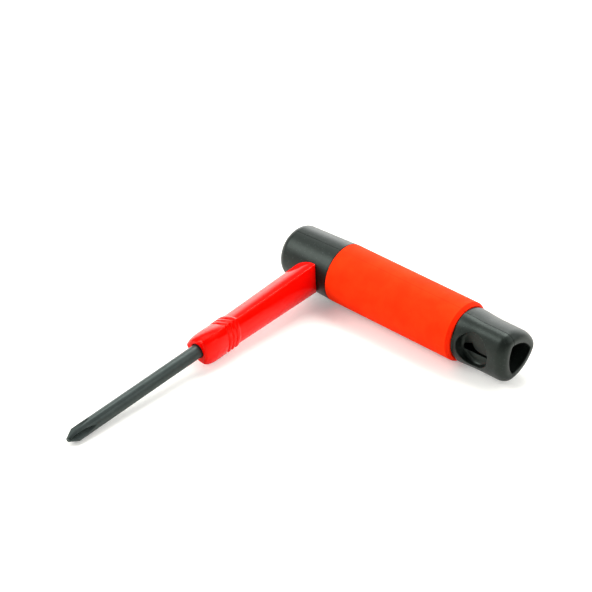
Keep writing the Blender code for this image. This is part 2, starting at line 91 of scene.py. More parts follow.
# Quads that are twisted by more than this are split into triangles.
FLAT_ANGLE = math.radians(0.02)

# Kinds of shader nodes and group sockets.
MATH = "ShaderNodeMath"
VECTOR_MATH = "ShaderNodeVectorMath"
FLOAT_SOCKET = "NodeSocketFloat"
VECTOR_SOCKET = "NodeSocketVector"
COLOUR_SOCKET = "NodeSocketColor"

# Places of a Mix node's factor, two inputs and result, which share their names between kinds.
MIX_SOCKETS = {"FLOAT": (0, 2, 3, 0), "RGBA": (0, 6, 7, 2)}

# How much finer the fine grain is, the ends between which clouds turn pale, and a speck's soft edge.
FINE_TO_COARSE = 3.3
CLOUD_ENDS = (0.32, 0.68)
SPECK_EDGE = 0.12

# Where the sleeve's moulding line starts and stops fading, its strength, and that of the bevel's painted
# shade.
SEAM_LINE = (0.12 * MM, 0.32 * MM)
SEAM_SHARE = 0.55
BEVEL_PAINTED_SHADE = 0.8

# Scales of the lines on drawn and rolled metal along X, Y and Z, small along the piece.
BLADE_LINES = (2600.0, 40.0, 2600.0)
STRIP_LINES = {"head_spring": (2600.0, 60.0, 2600.0), "tail_spring": (60.0, 2600.0, 2600.0)}

# The sky's colour, and the floor's darker tone as a share of its own.
WHITE = (1.0, 1.0, 1.0)
FLOOR_SHADE = 0.99

# The sky turns from far to near between these shares of the way to the camera.
SKY_TURN = (-0.2, 0.5)

# Soft lights in the sky: azimuth from +X, elevation, radius at full level and outer radius, in degrees.
SKY_LIGHTS = {
    "rear_glow": (108.0, 8.0, 14.0, 40.0),
    "fill_glow": (222.0, 37.0, 8.0, 22.0),
    "left_glow": (144.0, 4.0, 8.0, 24.0),
    "right_glow": (35.0, 40.0, 12.0, 38.0),
    "top_glow": (168.0, 57.0, 8.0, 32.0),
    "low_glow": (237.0, 9.0, 4.0, 20.0),
}

# Width of the camera's sensor in millimetres, and the nearest and farthest things that it sees.
SENSOR_WIDTH = 36.0
CLIP = (0.01, 20.0)


# Settings shown in the panel


def length(name, description, millimetres):
    """A length, given in millimetres."""
    size = millimetres * MM
    return FloatProperty(name=name, description=description, default=size, precision=5, unit="LENGTH")


def turn(name, description, degrees):
    """An angle, given in degrees."""
    angle = math.radians(degrees)
    return FloatProperty(
        name=name, description=description, default=angle, unit="ROTATION", subtype="ANGLE"
    )


def tally(name, description, default):
    return IntProperty(name=name, description=description, default=default, min=1)


def amount(name, description, default):
    return FloatProperty(name=name, description=description, default=default, min=0.0)


def position(name, description, default):
    return FloatVectorProperty(name=name, description=description, default=default, subtype="XYZ")


def colour(name, description, default):
    """A colour in linear light."""
    return FloatVectorProperty(
        name=name, description=description, default=default, size=3, min=0.0, max=1.0, subtype="COLOR"
    )


class HandleSizes(PropertyGroup):
    """Sizes of the hard core and its soft sleeve."""

    grip_radius: length("Grip radius", "Outside radius of the sleeve", 13.14)
    sleeve_wall: length("Sleeve wall", "Thickness of the sleeve", 1.7)
    sleeve_length: length("Sleeve length", "Length of the sleeve", 67.6)
    sleeve_edge: length("Sleeve edge", "Rounding of the sleeve's end at the head", 0.3)
    sleeve_bevel: length("Sleeve bevel", "Length of the bevel on the sleeve's end at the tail", 1.7)
    sleeve_bevel_drop: length("Sleeve bevel drop", "Depth of the bevel", 1.0)
    sleeve_bevel_blend: length("Sleeve bevel blend", "Half the length of the bevel's soft start", 0.25)
    sleeve_clearance: length("Sleeve clearance", "Gap between the sleeve and the core", 0.2)
    nick_width: length("Nick width", "Width of the small nick where the seam meets the sleeve's end", 0.5)
    nick_depth: length("Nick depth", "Depth of the nick along the sleeve", 0.7)
    head_to_sleeve: length("Head to sleeve", "From the carrier's axis to the sleeve", 11.1)
    head_to_dome: length("Head to dome", "From the carrier's axis to the end of the dome", 19.5)
    head_step: length("Head step", "How far the head stands inside the sleeve", 0.04)
    dome_taper: length("Dome taper", "How much the head narrows towards its dome", 1.1)
    dome_length: length("Dome length", "Length of the rounded end", 6.4)
    dome_flat: length("Dome flat", "Radius of the flat at the dome's end", 0.2)
    collar_spread: length("Collar spread", "How far the tail's section has spread at the sleeve's end", 5.0)
    collar_below_grip: length("Collar below grip", "From the sleeve's outside to the collar's corner", 0.52)
    collar_step: length("Collar step", "Length of the step out of the sleeve's end", 0.4)
    tail_length: length("Tail length", "From the sleeve to the rim of the tail", 25.6)
    tail_step: length("Tail step", "How far the tail's corners stand inside the sleeve", 0.78)
    tail_blend: length("Tail blend", "Length of the change of section past the sleeve", 11.0)
    tail_turn: turn("Tail turn", "Turn of the tail about the handle", -2.0)
    tail_shift: length("Tail shift", "Shift of the tail's middle to the back", 0.7)
    end_round: length("End round", "Length of the rounding at the tail's end", 4.5)
    rim_width: length("Rim width", "Flat rim between the rounding and the socket", 1.2)
    mouth_round: length("Mouth round", "Rounding of the sockets' mouths", 0.3)
    head_web: length("Head web", "Wall between the head's spring and the tail's socket", 3.0)
    seam_forward: length("Seam forward", "From the handle's axis to the seam", 2.0)
    seam_gap: length("Seam gap", "Gap between the two shells", 0.18)
    pin_radius: length("Pin radius", "Radius of the locating pins", 0.9)
    pin_length: length("Pin length", "Length of the locating pins", 2.2)
    pin_clearance: length("Pin clearance", "Gap round a locating pin", 0.3)
    pin_inset: length("Pin inset", "From the sleeve's ends to the pins", 7.0)


class WindowSizes(PropertyGroup):
    """Sizes of the round dish and the fin-shaped window on the tail."""

    dish_from_sleeve: length("Dish from sleeve", "From the sleeve to the dish's middle", 9.6)
    dish_rise: length("Dish rise", "Height of the dish's middle above the axis", 0.5)
    dish_radius: length("Dish radius", "Radius of the dish", 7.9)
    dish_floor: length("Dish floor", "Wall between the dish's floor and the socket", 0.7)
    floor_round: length("Floor round", "Rounding of the floor's edge", 1.6)
    rim_round: length("Rim round", "Rounding of the dish's rim", 0.35)
    fin_before: length("Fin before", "From the dish's middle back to the fin's round end", 5.5)
    fin_below: length("Fin below", "From the dish's middle down to the fin's round end", 1.9)
    fin_round: length("Fin round", "Radius of the fin's round end", 1.6)
    fin_to_tip: length("Fin to tip", "From the fin's round end to its tip", 10.6)
    fin_tip: length("Fin tip", "Width of the fin at its tip", 1.3)
    fin_peak_along: length("Fin peak along", "Place of the fin's peak along it", 2.65)
    fin_peak_up: length("Fin peak up", "Height of the fin's peak", 2.9)
    fin_edge: length("Fin edge", "Rounding of the fin's edge", 0.2)
    fin_flare: length("Fin flare", "How much the window widens on its inside", 0.6)
    fin_hollow: tally("Fin hollow", "Power of the fin's hollow edge", 6)


class CarrierSizes(PropertyGroup):
    """Sizes of the three-lobed carrier, with widths across a face and its opposite corner."""

    plug_width: length("Plug width", "Width of the plug", 13.2)
    plug_past_axis: length("Plug past axis", "From the handle's axis to the plug's end", 7.5)
    plug_chamfer: length("Plug chamfer", "Chamfer on the plug's end", 0.8)
    socket_clearance: length("Socket clearance", "Gap round the plug", 0.2)
    end_clearance: length("End clearance", "Gap past the plug's end", 0.3)
    shoulder_clearance: length("Shoulder clearance", "Gap between the shoulder and the head", 0.3)
    corner_round: length("Corner round", "Radius of the plug's corners", 0.7)
    edge_round: length("Edge round", "Radius of the corners outside the head", 0.35)
    root_width: length("Root width", "Width at the head", 14.6)
    waist_width: length("Waist width", "Width before the ribs", 13.1)
    nose_width: length("Nose width", "Width of the ribs and the nose", 14.1)
    nose_face: length("Nose face", "Width of the nose's end", 9.8)
    nose_reach: length("Nose reach", "From the handle's axis to the nose's end", 78.8)
    nose_round: length("Nose round", "Length of the nose's rounding", 7.0)
    bed_round: length("Bed round", "Rounding where the blade comes out", 0.25)
    groove_count: tally("Grooves", "Number of grip grooves", 4)
    groove_pitch: length("Groove pitch", "Distance between the grooves", 2.27)
    groove_width: length("Groove width", "Width of a groove", 1.3)
    groove_depth: length("Groove depth", "Depth of a groove", 0.45)
    nose_to_groove: length("Nose to groove", "From the nose's end to the first groove", 13.0)
    spring_width: length("Spring width", "Width of the leaf springs", 4.0)
    spring_thickness: length("Spring thickness", "Thickness of the leaf springs", 0.4)
    spring_half_length: length("Spring half length", "Half the length of a leaf", 6.2)
    spring_clearance: length("Spring clearance", "Gap round a leaf", 0.3)
    spring_slit: length("Spring slit", "Length of the slits that trap a leaf", 2.0)
    spring_from_axis: length("Spring from axis", "From the handle's axis to the head's leaf", 1.0)
    click_groove_depth: length("Click groove depth", "Depth of the ring groove on the plug", 0.8)
    click_groove_half: length("Click groove half", "Half the width of the ring groove", 2.0)


class BladeSizes(PropertyGroup):
    """Sizes of the steel blade."""

    shank_radius: length("Shank radius", "Radius of the shank", 3.0)
    exposed: length("Exposed length", "Length that stands out of the nose", 73.6)
    embedded: length("Embedded length", "Length inside the carrier", 47.4)
    clearance: length("Bed clearance", "Gap round the blade in its bed", 0.25)
    root_chamfer: length("Root chamfer", "Chamfer on the root", 0.6)
    wing_width: length("Wing width", "Width of the root's wings", 8.6)
    wing_thickness: length("Wing thickness", "Thickness of the wings", 3.2)
    wing_length: length("Wing length", "Length of a wing", 8.0)
    wing_count: tally("Wings", "Number of pairs of wings", 2)
    wing_pitch: length("Wing pitch", "Distance between the wings", 15.0)
    wing_from_root: length("Wing from root", "From the root to the first wings", 5.0)
    point_half_angle: turn("Point half angle", "Half the angle of the point's cone", 26.5)
    point_flat: length("Point flat", "Radius of the point's blunt end", 0.9)
    flute_count: tally("Flutes", "Number of flutes", 4)
    flute_start: turn("Flute start", "Turn of the first flute from the handle's axis", 18.0)
    flute_angle: turn("Flute angle", "Angle between a flute's sides", 92.0)
    flute_rise: turn("Flute rise", "Rise of a flute's bottom from the tip", 5.75)
    flute_core: length("Flute core", "From the axis to a flute's bottom at the tip", 0.6)
    flute_straight: length("Flute straight", "Straight length of a flute", 7.0)
    flute_wheel: length("Flute wheel", "Radius of the run-out", 17.0)
    flute_run_out: length("Flute run-out", "Length of the run-out", 8.5)


class Finishes(PropertyGroup):
    """Colours of the finishes. A sheen is the tint of a finish's reflections."""

    plastic_deep: colour("Plastic, deep", "Dark tone of the core", (0.0050, 0.0067, 0.0056))
    plastic_pale: colour("Plastic, pale", "Pale tone of the core", (0.0074, 0.0098, 0.0084))
    plastic_speck: colour("Plastic, specks", "Tiny pale specks in the core", (0.024, 0.029, 0.026))
    plastic_sheen: colour("Plastic, sheen", "Tint of the core's sheen", (0.84, 1.0, 0.9))
    rubber_deep: colour("Rubber, deep", "Deep tone of the sleeve", (0.97, 0.029, 0.0022))
    rubber_pale: colour("Rubber, pale", "Pale tone of the sleeve", (0.99, 0.039, 0.0040))
    rubber_seam: colour("Rubber, seam", "Tone of the moulding line on the sleeve", (0.92, 0.022, 0.002))
    # Painted shade: a darker red for the bevelled end at the tail, standing in for the lower light that it
    # gets.
    rubber_painted_bevel_shade: colour("Rubber, bevel", "Tone of the sleeve's bevelled end", (0.95, 0.016, 0.0012))
    rubber_sheen: colour("Rubber, sheen", "Tint of the sleeve's sheen", (1.0, 0.75, 0.45))
    gloss_deep: colour("Gloss red, deep", "Deep tone of the carrier", (0.97, 0.0016, 0.0006))
    gloss_pale: colour("Gloss red, pale", "Pale tone of the carrier", (0.99, 0.0036, 0.0012))
    gloss_sheen: colour("Gloss red, sheen", "Tint of the carrier's sheen", (1.0, 0.84, 0.58))
    steel_deep: colour("Steel, deep", "Dark tone of the oxide on the blade", (0.018, 0.024, 0.023))
    steel_pale: colour("Steel, pale", "Pale tone of the oxide on the blade", (0.030, 0.038, 0.036))
    steel_sheen: colour("Steel, sheen", "Tint of the blade's sheen", (0.84, 1.0, 0.94))
    strip_deep: colour("Strip, deep", "Dark tone of the springs", (0.46, 0.46, 0.45))
    strip_pale: colour("Strip, pale", "Pale tone of the springs", (0.62, 0.62, 0.60))
    floor: colour("Floor", "Colour of the floor", (0.80, 0.80, 0.75))


class StageSettings(PropertyGroup):
    """Camera, lamp, sky and floor."""

    eye: position("Eye", "Place of the camera", (0.59908, -0.652817, 0.63687))
    azimuth: turn("Azimuth", "Turn of the camera about the upright axis", 42.355)
    elevation: turn("Elevation", "How far the camera looks down", 33.553)
    lens: FloatProperty(
        name="Lens", description="Focal length in millimetres", default=163.97, unit="CAMERA"
    )
    floor_radius: length("Floor radius", "Radius of the floor", 4000.0)
    floor_glow: amount("Floor glow", "White added where the floor is seen", 0.28)
    key: FloatProperty(name="Key lamp", description="Power of the high lamp", default=12.0, unit="POWER")
    key_place: position("Key place", "Place of the high lamp, behind at the left", (-0.28, 0.56, 1.03))
    key_size: length("Key size", "Diameter of the high lamp", 680.0)
    sky_far: amount("Sky, far", "Level of the sky away from the camera", 0.4)
    sky_near: amount("Sky, near", "Level of the sky behind the camera", 0.2)
    rear_glow: amount("Rear glow", "Level of the low light behind", 3.1)
    fill_glow: amount("Fill glow", "Level of the light at the front left", 8.2)
    left_glow: amount("Left glow", "Level of the low light at the rear left", 3.0)
    right_glow: amount("Right glow", "Level of the light at the right", 2.2)
    top_glow: amount("Top glow", "Level of the light overhead at the left", 1.4)
    low_glow: amount("Low glow", "Level of the low light at the front left", 1.6)


def tool_settings():
    """The panel's settings, with the places and sizes that follow from them.

    h, w, c and b are the sizes of the handle, the window, the carrier and the blade.
    """
    scene = bpy.context.scene
    h = scene.screwdriver_handle
    w = scene.screwdriver_window
    c = scene.screwdriver_carrier
    b = scene.screwdriver_blade
    t = SimpleNamespace(h=h, w=w, c=c, b=b)
    t.sleeve_end = h.head_to_sleeve + h.sleeve_length
    t.tail_end = t.sleeve_end + h.tail_length
    t.core_radius = h.grip_radius - h.sleeve_wall - h.sleeve_clearance
    t.head_radius = h.grip_radius - h.head_step
    t.dome_radius = t.head_radius - h.dome_taper
    t.dome_start = h.dome_length - h.head_to_dome
    t.collar_round = h.grip_radius - h.collar_below_grip - h.collar_spread
    t.dish_centre = t.sleeve_end + w.dish_from_sleeve

    t.plug_spread = (c.plug_width - 2 * c.corner_round) / math.sqrt(3)
    t.socket_round = c.corner_round + c.socket_clearance
    t.tail_round = h.grip_radius - h.tail_step - t.plug_spread
    t.tail_wall = t.tail_round - t.socket_round
    plug_face = t.plug_spread * (math.sqrt(3) - 1) + c.corner_round
    t.socket_face = plug_face + c.socket_clearance
    t.tail_face = t.socket_face + t.tail_wall
    t.spring_back = t.socket_face + c.spring_clearance + 2 * c.spring_thickness
    t.pocket_floor = t.spring_back + c.spring_clearance
    t.bore_start = t.pocket_floor + h.head_web

    point_length = (b.shank_radius - b.point_flat) / math.tan(b.point_half_angle)
    t.tip_reach = c.nose_reach + b.exposed
    t.shoulder_reach = t.tip_reach - point_length
    t.root_reach = c.nose_reach - b.embedded

    lean = math.asin(h.grip_radius / math.hypot(t.shoulder_reach, b.shank_radius))
    t.lie_angle = lean - math.atan2(b.shank_radius, t.shoulder_reach)
    reach_y = t.tip_reach * math.cos(t.lie_angle) - b.point_flat * math.sin(t.lie_angle)
    middle = Vector(((t.tail_end - h.head_to_dome) / 2, (h.grip_radius - reach_y) / 2, -h.grip_radius))
    t.place = Matrix.Translation(-middle) @ Matrix.Rotation(t.lie_angle, 4, "X")
    return t


# Meshes


def finish_mesh(name, shape):
    bmesh.ops.recalc_face_normals(shape, faces=shape.faces)
    mesh = bpy.data.meshes.new(name)
    shape.to_mesh(mesh)
    shape.free()
    return mesh


def skin(name, rings, closed):
    """A mesh through rings of points with the same count, closed into a ring or capped at both ends."""
    shape = bmesh.new()
    rows = [[shape.verts.new(point) for point in ring] for ring in rings]
    count = len(rows[0])
    pairs = zip(rows, rows[1:] + rows[:1]) if closed else zip(rows, rows[1:])
    for lower, upper in pairs:
        for i in range(count):
            j = (i + 1) % count
            shape.faces.new((lower[i], lower[j], upper[j], upper[i]))
    bmesh.ops.connect_verts_nonplanar(shape, angle_limit=FLAT_ANGLE, faces=shape.faces)
    if not closed:
        shape.faces.new(rows[0])
        shape.faces.new(rows[-1])
    return finish_mesh(name, shape)


def loft(name, rings):
    return skin(name, rings, closed=False)


def block(name, low, high):
    """A box between two corners."""
    corners = ((0, 0), (1, 0), (1, 1), (0, 1))
    ends = (low, high)
    rings = []
    for z in (low[2], high[2]):
        rings.append([Vector((ends[a][0], ends[b][1], z)) for a, b in corners])
    return loft(name, rings)


def make_piece(name, mesh, material):
    """Puts a mesh in the scene as a piece with one material."""
    piece = bpy.data.objects.new(name, mesh)
    bpy.context.scene.collection.objects.link(piece)
    mesh.materials.clear()
    mesh.materials.append(material)
    return piece


def shape_piece(piece, steps):
    """Applies (operation, mesh) steps to a piece in order, and throws the tool meshes away."""
    tools = []
    for operation, mesh in steps:
        tool = bpy.data.objects.new(mesh.name, mesh)
        bpy.context.scene.collection.objects.link(tool)
        modifier = piece.modifiers.new(mesh.name, "BOOLEAN")
        modifier.operation = operation
        modifier.solver = "EXACT"
        modifier.object = tool
        tools.append(tool)
    bpy.context.view_layer.update()
    shaped = piece.evaluated_get(bpy.context.evaluated_depsgraph_get())
    mesh = bpy.data.meshes.new_from_object(shaped)
    piece.modifiers.clear()
    rough = piece.data
    piece.data = mesh
    mesh.name = piece.name
    bpy.data.meshes.remove(rough)
    for tool in tools:
        tool_mesh = tool.data
        bpy.data.objects.remove(tool)
        bpy.data.meshes.remove(tool_mesh)


def fit(t, piece, body, node):
    """Lays a finished piece down with the tool, on its body and in the place of its node."""
    piece.data.transform(t.place)
    piece.data.shade_smooth()
    piece.data.set_sharp_from_angle(angle=SHARP_ANGLE)
    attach(piece, body)
    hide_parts(node)


# Sections


def trilobe(spread, rounding, first_corner=0.0):
    """A Reuleaux triangle with corners spread from the middle, grown by rounding: a circle if spread is 0.

    Each point is worked out from the direction that the outline faces there, so two trilobes with
    different sizes match point for point.
    """
    sixth_turn = math.pi / 3
    outline = []
    for step in range(OUTLINE_POINTS):
        facing = 2 * math.pi * (step + 0.5) / OUTLINE_POINTS
        sixth = round((facing - first_corner) / sixth_turn)
        middle = first_corner + sixth * sixth_turn
        on_corner = sixth % 2 == 0
        radius = rounding if on_corner else rounding + spread * math.sqrt(3)
        offset = spread if on_corner else -spread
        a = offset * math.cos(middle) + radius * math.cos(facing)
        b = offset * math.sin(middle) + radius * math.sin(facing)
        outline.append((a, b))
    return outline


def handle_ring(t, x, spread, rounding):
    """A section across the handle, with one corner to the back and its middle shifted as it spreads."""
    shift = t.h.tail_shift * spread / t.plug_spread
    return [Vector((x, y + shift, z)) for y, z in trilobe(spread, rounding, t.h.tail_turn)]


def carrier_outline(spread, rounding):
    """A section across the carrier, with one corner towards the dome and one face towards the tail."""
    return trilobe(spread, rounding, math.pi)


def carrier_ring(reach, spread, rounding):
    """A section of the carrier at a reach from the handle's axis."""
    return [Vector((x, -reach, z)) for x, z in carrier_outline(spread, rounding)]


def width_ring(t, reach, width):
    """A section of the plug, from its width across a face and a corner."""
    spread = (width - 2 * t.c.corner_round) / math.sqrt(3)
    return carrier_ring(reach, spread, t.c.corner_round)


def arm_ring(t, reach, width):
    """A section outside the head, whose corners reach as far as the plug's but are sharper."""
    c = t.c
    corner = (width - 2 * c.corner_round) / math.sqrt(3) + c.corner_round
    return carrier_ring(reach, corner - c.edge_round, c.edge_round)


def quarter_round(steps):
    """Pairs (along, in) of a quarter ellipse of unit size, from the straight side to the end."""
    for i in range(1, steps + 1):
        angle = math.pi / 2 * i / steps
        yield math.sin(angle), 1 - math.cos(angle)


def ease(share):
    """A share from 0 to 1 that starts and stops gently."""
    return share * share * (3 - 2 * share)


def between(start, end, share):
    """A section (x, spread, rounding) on the way from start to end, level at both ends."""
    eased = ease(share)
    x = start[0] + share * (end[0] - start[0])
    return x, start[1] + eased * (end[1] - start[1]), start[2] + eased * (end[2] - start[2])


def blend_sections(start, end):
    return [between(start, end, i / BLEND_STEPS) for i in range(BLEND_STEPS + 1)]


def collar(t):
    """The section (x, spread, rounding) just outside the sleeve's end."""
    return t.sleeve_end + t.h.collar_step, t.h.collar_spread, t.collar_round


def tail_start(t):
    """The section where the tail has all of its three-lobed form."""
    return t.sleeve_end + t.h.tail_blend, t.plug_spread, t.tail_round


def core_sections(t):
    """Sections (x, spread, rounding) of the handle core from the dome to the tail's rim."""
    h = t.h
    dome = [(t.dome_start, 0.0, t.dome_radius)]
    for along, inwards in quarter_round(DOME_STEPS):
        radius = t.dome_radius - inwards * (t.dome_radius - h.dome_flat)
        dome.append((t.dome_start - along * h.dome_length, 0.0, radius))
    sections = dome[::-1]
    sections.append((h.head_to_sleeve, 0.0, t.head_radius))
    sections.append((h.head_to_sleeve, 0.0, t.core_radius))
    sections.append((t.sleeve_end, 0.0, t.core_radius))
    sections += blend_sections(collar(t), tail_start(t))
    round_start = t.tail_end - h.end_round
    sections.append((round_start, t.plug_spread, t.tail_round))
    for along, inwards in quarter_round(END_STEPS):
        rounding = t.tail_round - inwards * (t.tail_wall - h.rim_width)
        sections.append((round_start + along * h.end_round, t.plug_spread, rounding))
    return sections


def mouth_steps(radius):
    """Pairs (grown, depth) of a rounded mouth, from its foot to just past the surface."""
    for step in range(MOUTH_STEPS + 1):
        angle = MOUTH_SWEEP * step / MOUTH_STEPS
        yield radius * (1 - math.cos(angle)), radius * (1 - math.sin(angle))
    last_grown = radius * (1 - math.cos(MOUTH_SWEEP))
    last_depth = radius * (1 - math.sin(MOUTH_SWEEP))
    run = (last_depth + MOUTH_PROUD) / math.cos(MOUTH_SWEEP)
    yield last_grown + run * math.sin(MOUTH_SWEEP), -MOUTH_PROUD


def mouth_rings(outline_at, surface, radius):
    """Rings of (a, b, height) for a cut that opens through a surface with a rounded edge."""
    rings = []
    for grown, depth in mouth_steps(radius):
        rings.append([(a, b, surface(a, b) - depth) for a, b in outline_at(grown)])
    rings.append([(a, b, height + CUT_PAST) for a, b, height in rings[-1]])
    return rings


# Handle


def spring_places(t):
    """Matrices that place a leaf: local X along it, Y across it, Z outwards from the socket's axis."""
    head = Matrix(((0, 0, 1), (1, 0, 0), (0, 1, 0))).to_4x4()
    head.translation = (0.0, -t.c.spring_from_axis, 0.0)
    groove_from_shoulder = t.head_radius - t.c.spring_from_axis
    tail = Matrix.Rotation(t.h.tail_turn - UP_TO_FACE, 4, "X")
    tail.translation = (t.tail_end - groove_from_shoulder, t.h.tail_shift, 0.0)
    return head, tail


def spring_pocket(t, name, place):
    """A pocket that is open round the bump, with slits at both ends that trap the leaf."""
    c = t.c
    half_width = c.spring_width / 2 + c.spring_clearance
    reach = c.spring_half_length + c.spring_clearance
    open_reach = reach - c.spring_slit
    slit_top = t.spring_back - c.spring_thickness - c.spring_clearance
    right = [(open_reach, 0.0), (open_reach, slit_top), (reach, slit_top), (reach, t.pocket_floor)]
    outline = right + [(-along, height) for along, height in reversed(right)]
    rings = []
    for across in (-half_width, half_width):
        rings.append([place @ Vector((along, across, height)) for along, height in outline])
    return loft(name, rings)


def head_socket(t):
    """The socket across the head, with a rounded mouth on the head's side."""

    def head_surface(x, z):
        share = (x - t.dome_start) / (t.h.head_to_sleeve - t.dome_start)
        radius = t.dome_radius + share * (t.head_radius - t.dome_radius)
        return math.sqrt(radius**2 - z**2)

    def socket_outline(grown):
        return carrier_outline(t.plug_spread, t.socket_round + grown)

    rings = [carrier_ring(-t.c.plug_past_axis - t.c.end_clearance, t.plug_spread, t.socket_round)]
    for ring in mouth_rings(socket_outline, head_surface, t.h.mouth_round):
        rings.append([Vector((x, -reach, z)) for x, z, reach in ring])
    return loft("head_socket", rings)


def tail_bore(t):
    """The long socket in the tail, with a rounded mouth on the rim."""
    stations = [(t.bore_start, 0.0)]
    stations += [(t.tail_end - depth, grown) for grown, depth in mouth_steps(t.h.mouth_round)]
    stations.append((t.tail_end + CUT_PAST, stations[-1][1]))
    rings = [handle_ring(t, x, t.plug_spread, t.socket_round + grown) for x, grown in stations]
    return loft("tail_bore", rings)


def dish_place(t):
    """Matrix that puts a cutter on the tail's front face: local -Y is the face's outward normal."""
    place = Matrix.Rotation(t.h.tail_turn, 4, "X")
    middle = place @ Vector((t.dish_centre, 0.0, t.w.dish_rise))
    place.translation = middle + Vector((0.0, t.h.tail_shift, 0.0))
    return place


def tail_front(t, x, z):
    """Height of the tail's front face over the dish's own axes."""
    along = (t.dish_centre + x - t.sleeve_end - t.h.collar_step) / (t.h.tail_blend - t.h.collar_step)
    _, spread, rounding = between(collar(t), tail_start(t), min(max(along, 0.0), 1.0))
    up = abs(z + t.w.dish_rise)
    shift = t.h.tail_shift * (1 - spread / t.plug_spread)
    face_radius = rounding + spread * math.sqrt(3)
    if up <= face_radius / 2:
        return math.sqrt(face_radius**2 - up**2) - spread + shift
    past = up - spread * math.sqrt(3) / 2
    return math.sqrt(max(rounding**2 - past**2, 0.0)) + spread / 2 + shift


def circle(radius, count=OUTLINE_POINTS):
    turns = [2 * math.pi * i / count for i in range(count)]
    return [(radius * math.cos(angle), radius * math.sin(angle)) for angle in turns]


def dish(t):
    """A round pocket in the front of the tail, with a rounded rim and a rounded edge to its floor."""
    w = t.w
    floor = t.socket_face + w.dish_floor
    place = dish_place(t)
    rings = []
    for along, inwards in reversed(list(quarter_round(DISH_STEPS))):
        height = floor + w.floor_round * (1 - along)
        outline = circle(w.dish_radius - w.floor_round * inwards)
        rings.append([place @ Vector((x, -height, z)) for x, z in outline])

    def rim_outline(grown):
        return circle(w.dish_radius + grown)

    def rim_surface(x, z):
        return tail_front(t, x, z)

    for ring in mouth_rings(rim_outline, rim_surface, w.rim_round):
        rings.append([place @ Vector((x, -height, z)) for x, z, height in ring])
    return loft("dish", rings)


def fin_outline(w):
    """The window's outline about its round end: a straight lower edge, and a hollow edge up to a peak."""
    points = []
    for i in range(FIN_STEPS + 1):
        angle = math.pi / 2 + math.pi * i / FIN_STEPS
        points.append(Vector((w.fin_round * math.cos(angle), w.fin_round * math.sin(angle))))
    low = -w.fin_round
    high = low + w.fin_tip
    points.append(Vector((w.fin_to_tip, low)))
    for i in range(FIN_STEPS + 1):
        share = i / FIN_STEPS
        x = w.fin_to_tip + share * (w.fin_peak_along - w.fin_to_tip)
        points.append(Vector((x, high + (w.fin_peak_up - high) * share**w.fin_hollow)))
    return points


def grown_outline(points, grown):
    """An anticlockwise outline moved outwards along the average normal at each point."""
    moved = []
    for before, point, after in zip(points[-1:] + points[:-1], points, points[1:] + points[:1]):
        run = (point - before).normalized() + (after - point).normalized()
        moved.append(point + Vector((run.y, -run.x)).normalized() * grown)
    return moved


def fin(t):
    """The fin-shaped window through the dish's floor."""
    w = t.w
    floor = t.socket_face + w.dish_floor
    points = fin_outline(w)
    place = dish_place(t)
    corner = Vector((-w.fin_before, 0.0, -w.fin_below))

    def fin_edge(grown):
        return [tuple(point) for point in grown_outline(points, grown)]

    def floor_surface(x, z):
        past = math.hypot(x - w.fin_before, z - w.fin_below) - (w.dish_radius - w.floor_round)
        if past <= 0:
            return floor
        return floor + w.floor_round - math.sqrt(max(w.floor_round**2 - past**2, 0.0))

    inside = fin_edge(w.fin_flare)
    rings = [[(x, z, height) for x, z in inside] for height in (t.socket_face - CUT_PAST, t.socket_face)]
    rings += mouth_rings(fin_edge, floor_surface, w.fin_edge)
    placed_rings = []
    for ring in rings:
        placed_rings.append([place @ (Vector((x, -height, z)) + corner) for x, z, height in ring])
    return loft("fin", placed_rings)


def pin_places(t):
    """Middles of the locating pins on the seam, in the core's wall under the sleeve."""
    height = (t.core_radius + t.c.plug_width / 2) / 2
    for x in (t.h.head_to_sleeve + t.h.pin_inset, t.sleeve_end - t.h.pin_inset):
        for side in (1, -1):
            yield x, side * height


def pin(name, x, z, radius, front, back):
    """A round pin across the seam, from front to back along Y."""
    outline = circle(radius, PIN_STEPS)
    return loft(name, [[Vector((x + a, y, z + b)) for a, b in outline] for y in (front, back)])


def core_cuts(t):
    """The openings that the two halves of the core share."""
    head_place, _ = spring_places(t)
    cutters = (head_socket(t), tail_bore(t), spring_pocket(t, "head_pocket", head_place))
    return [("DIFFERENCE", cutter) for cutter in cutters]


def make_shells(t, material):
    """The two halves of the core, cut from one outside shape along the seam."""
    h = t.h
    outside = loft("core", [handle_ring(t, *section) for section in core_sections(t)])
    front = make_piece("core_front", outside, material)
    rear = make_piece("core_rear", outside.copy(), material)
    seam_front = -h.seam_forward - h.seam_gap / 2
    seam_rear = -h.seam_forward + h.seam_gap / 2
    far = HALF_SPACE
    _, tail_place = spring_places(t)
    front_steps = [("INTERSECT", block("front_half", (-far, -far, -far), (far, seam_front, far)))]
    front_steps += core_cuts(t)
    front_steps += [("DIFFERENCE", dish(t)), ("DIFFERENCE", fin(t))]
    rear_steps = [("INTERSECT", block("rear_half", (-far, seam_rear, -far), (far, far, far)))]
    rear_steps += core_cuts(t)
    rear_steps.append(("DIFFERENCE", spring_pocket(t, "tail_pocket", tail_place)))
    pin_front = seam_rear - h.seam_gap - h.pin_length
    hole_front = pin_front - h.pin_clearance
    hole_radius = h.pin_radius + h.pin_clearance
    for index, (x, z) in enumerate(pin_places(t)):
        solid = pin(f"pin_{index}", x, z, h.pin_radius, pin_front, seam_rear + h.pin_radius)
        rear_steps.append(("UNION", solid))
        hole = pin(f"pin_hole_{index}", x, z, hole_radius, hole_front, seam_rear)
        front_steps.append(("DIFFERENCE", hole))
    shape_piece(front, front_steps)
    shape_piece(rear, rear_steps)
    fit(t, front, "handle", "front_shell")
    fit(t, rear, "handle", "rear_shell")


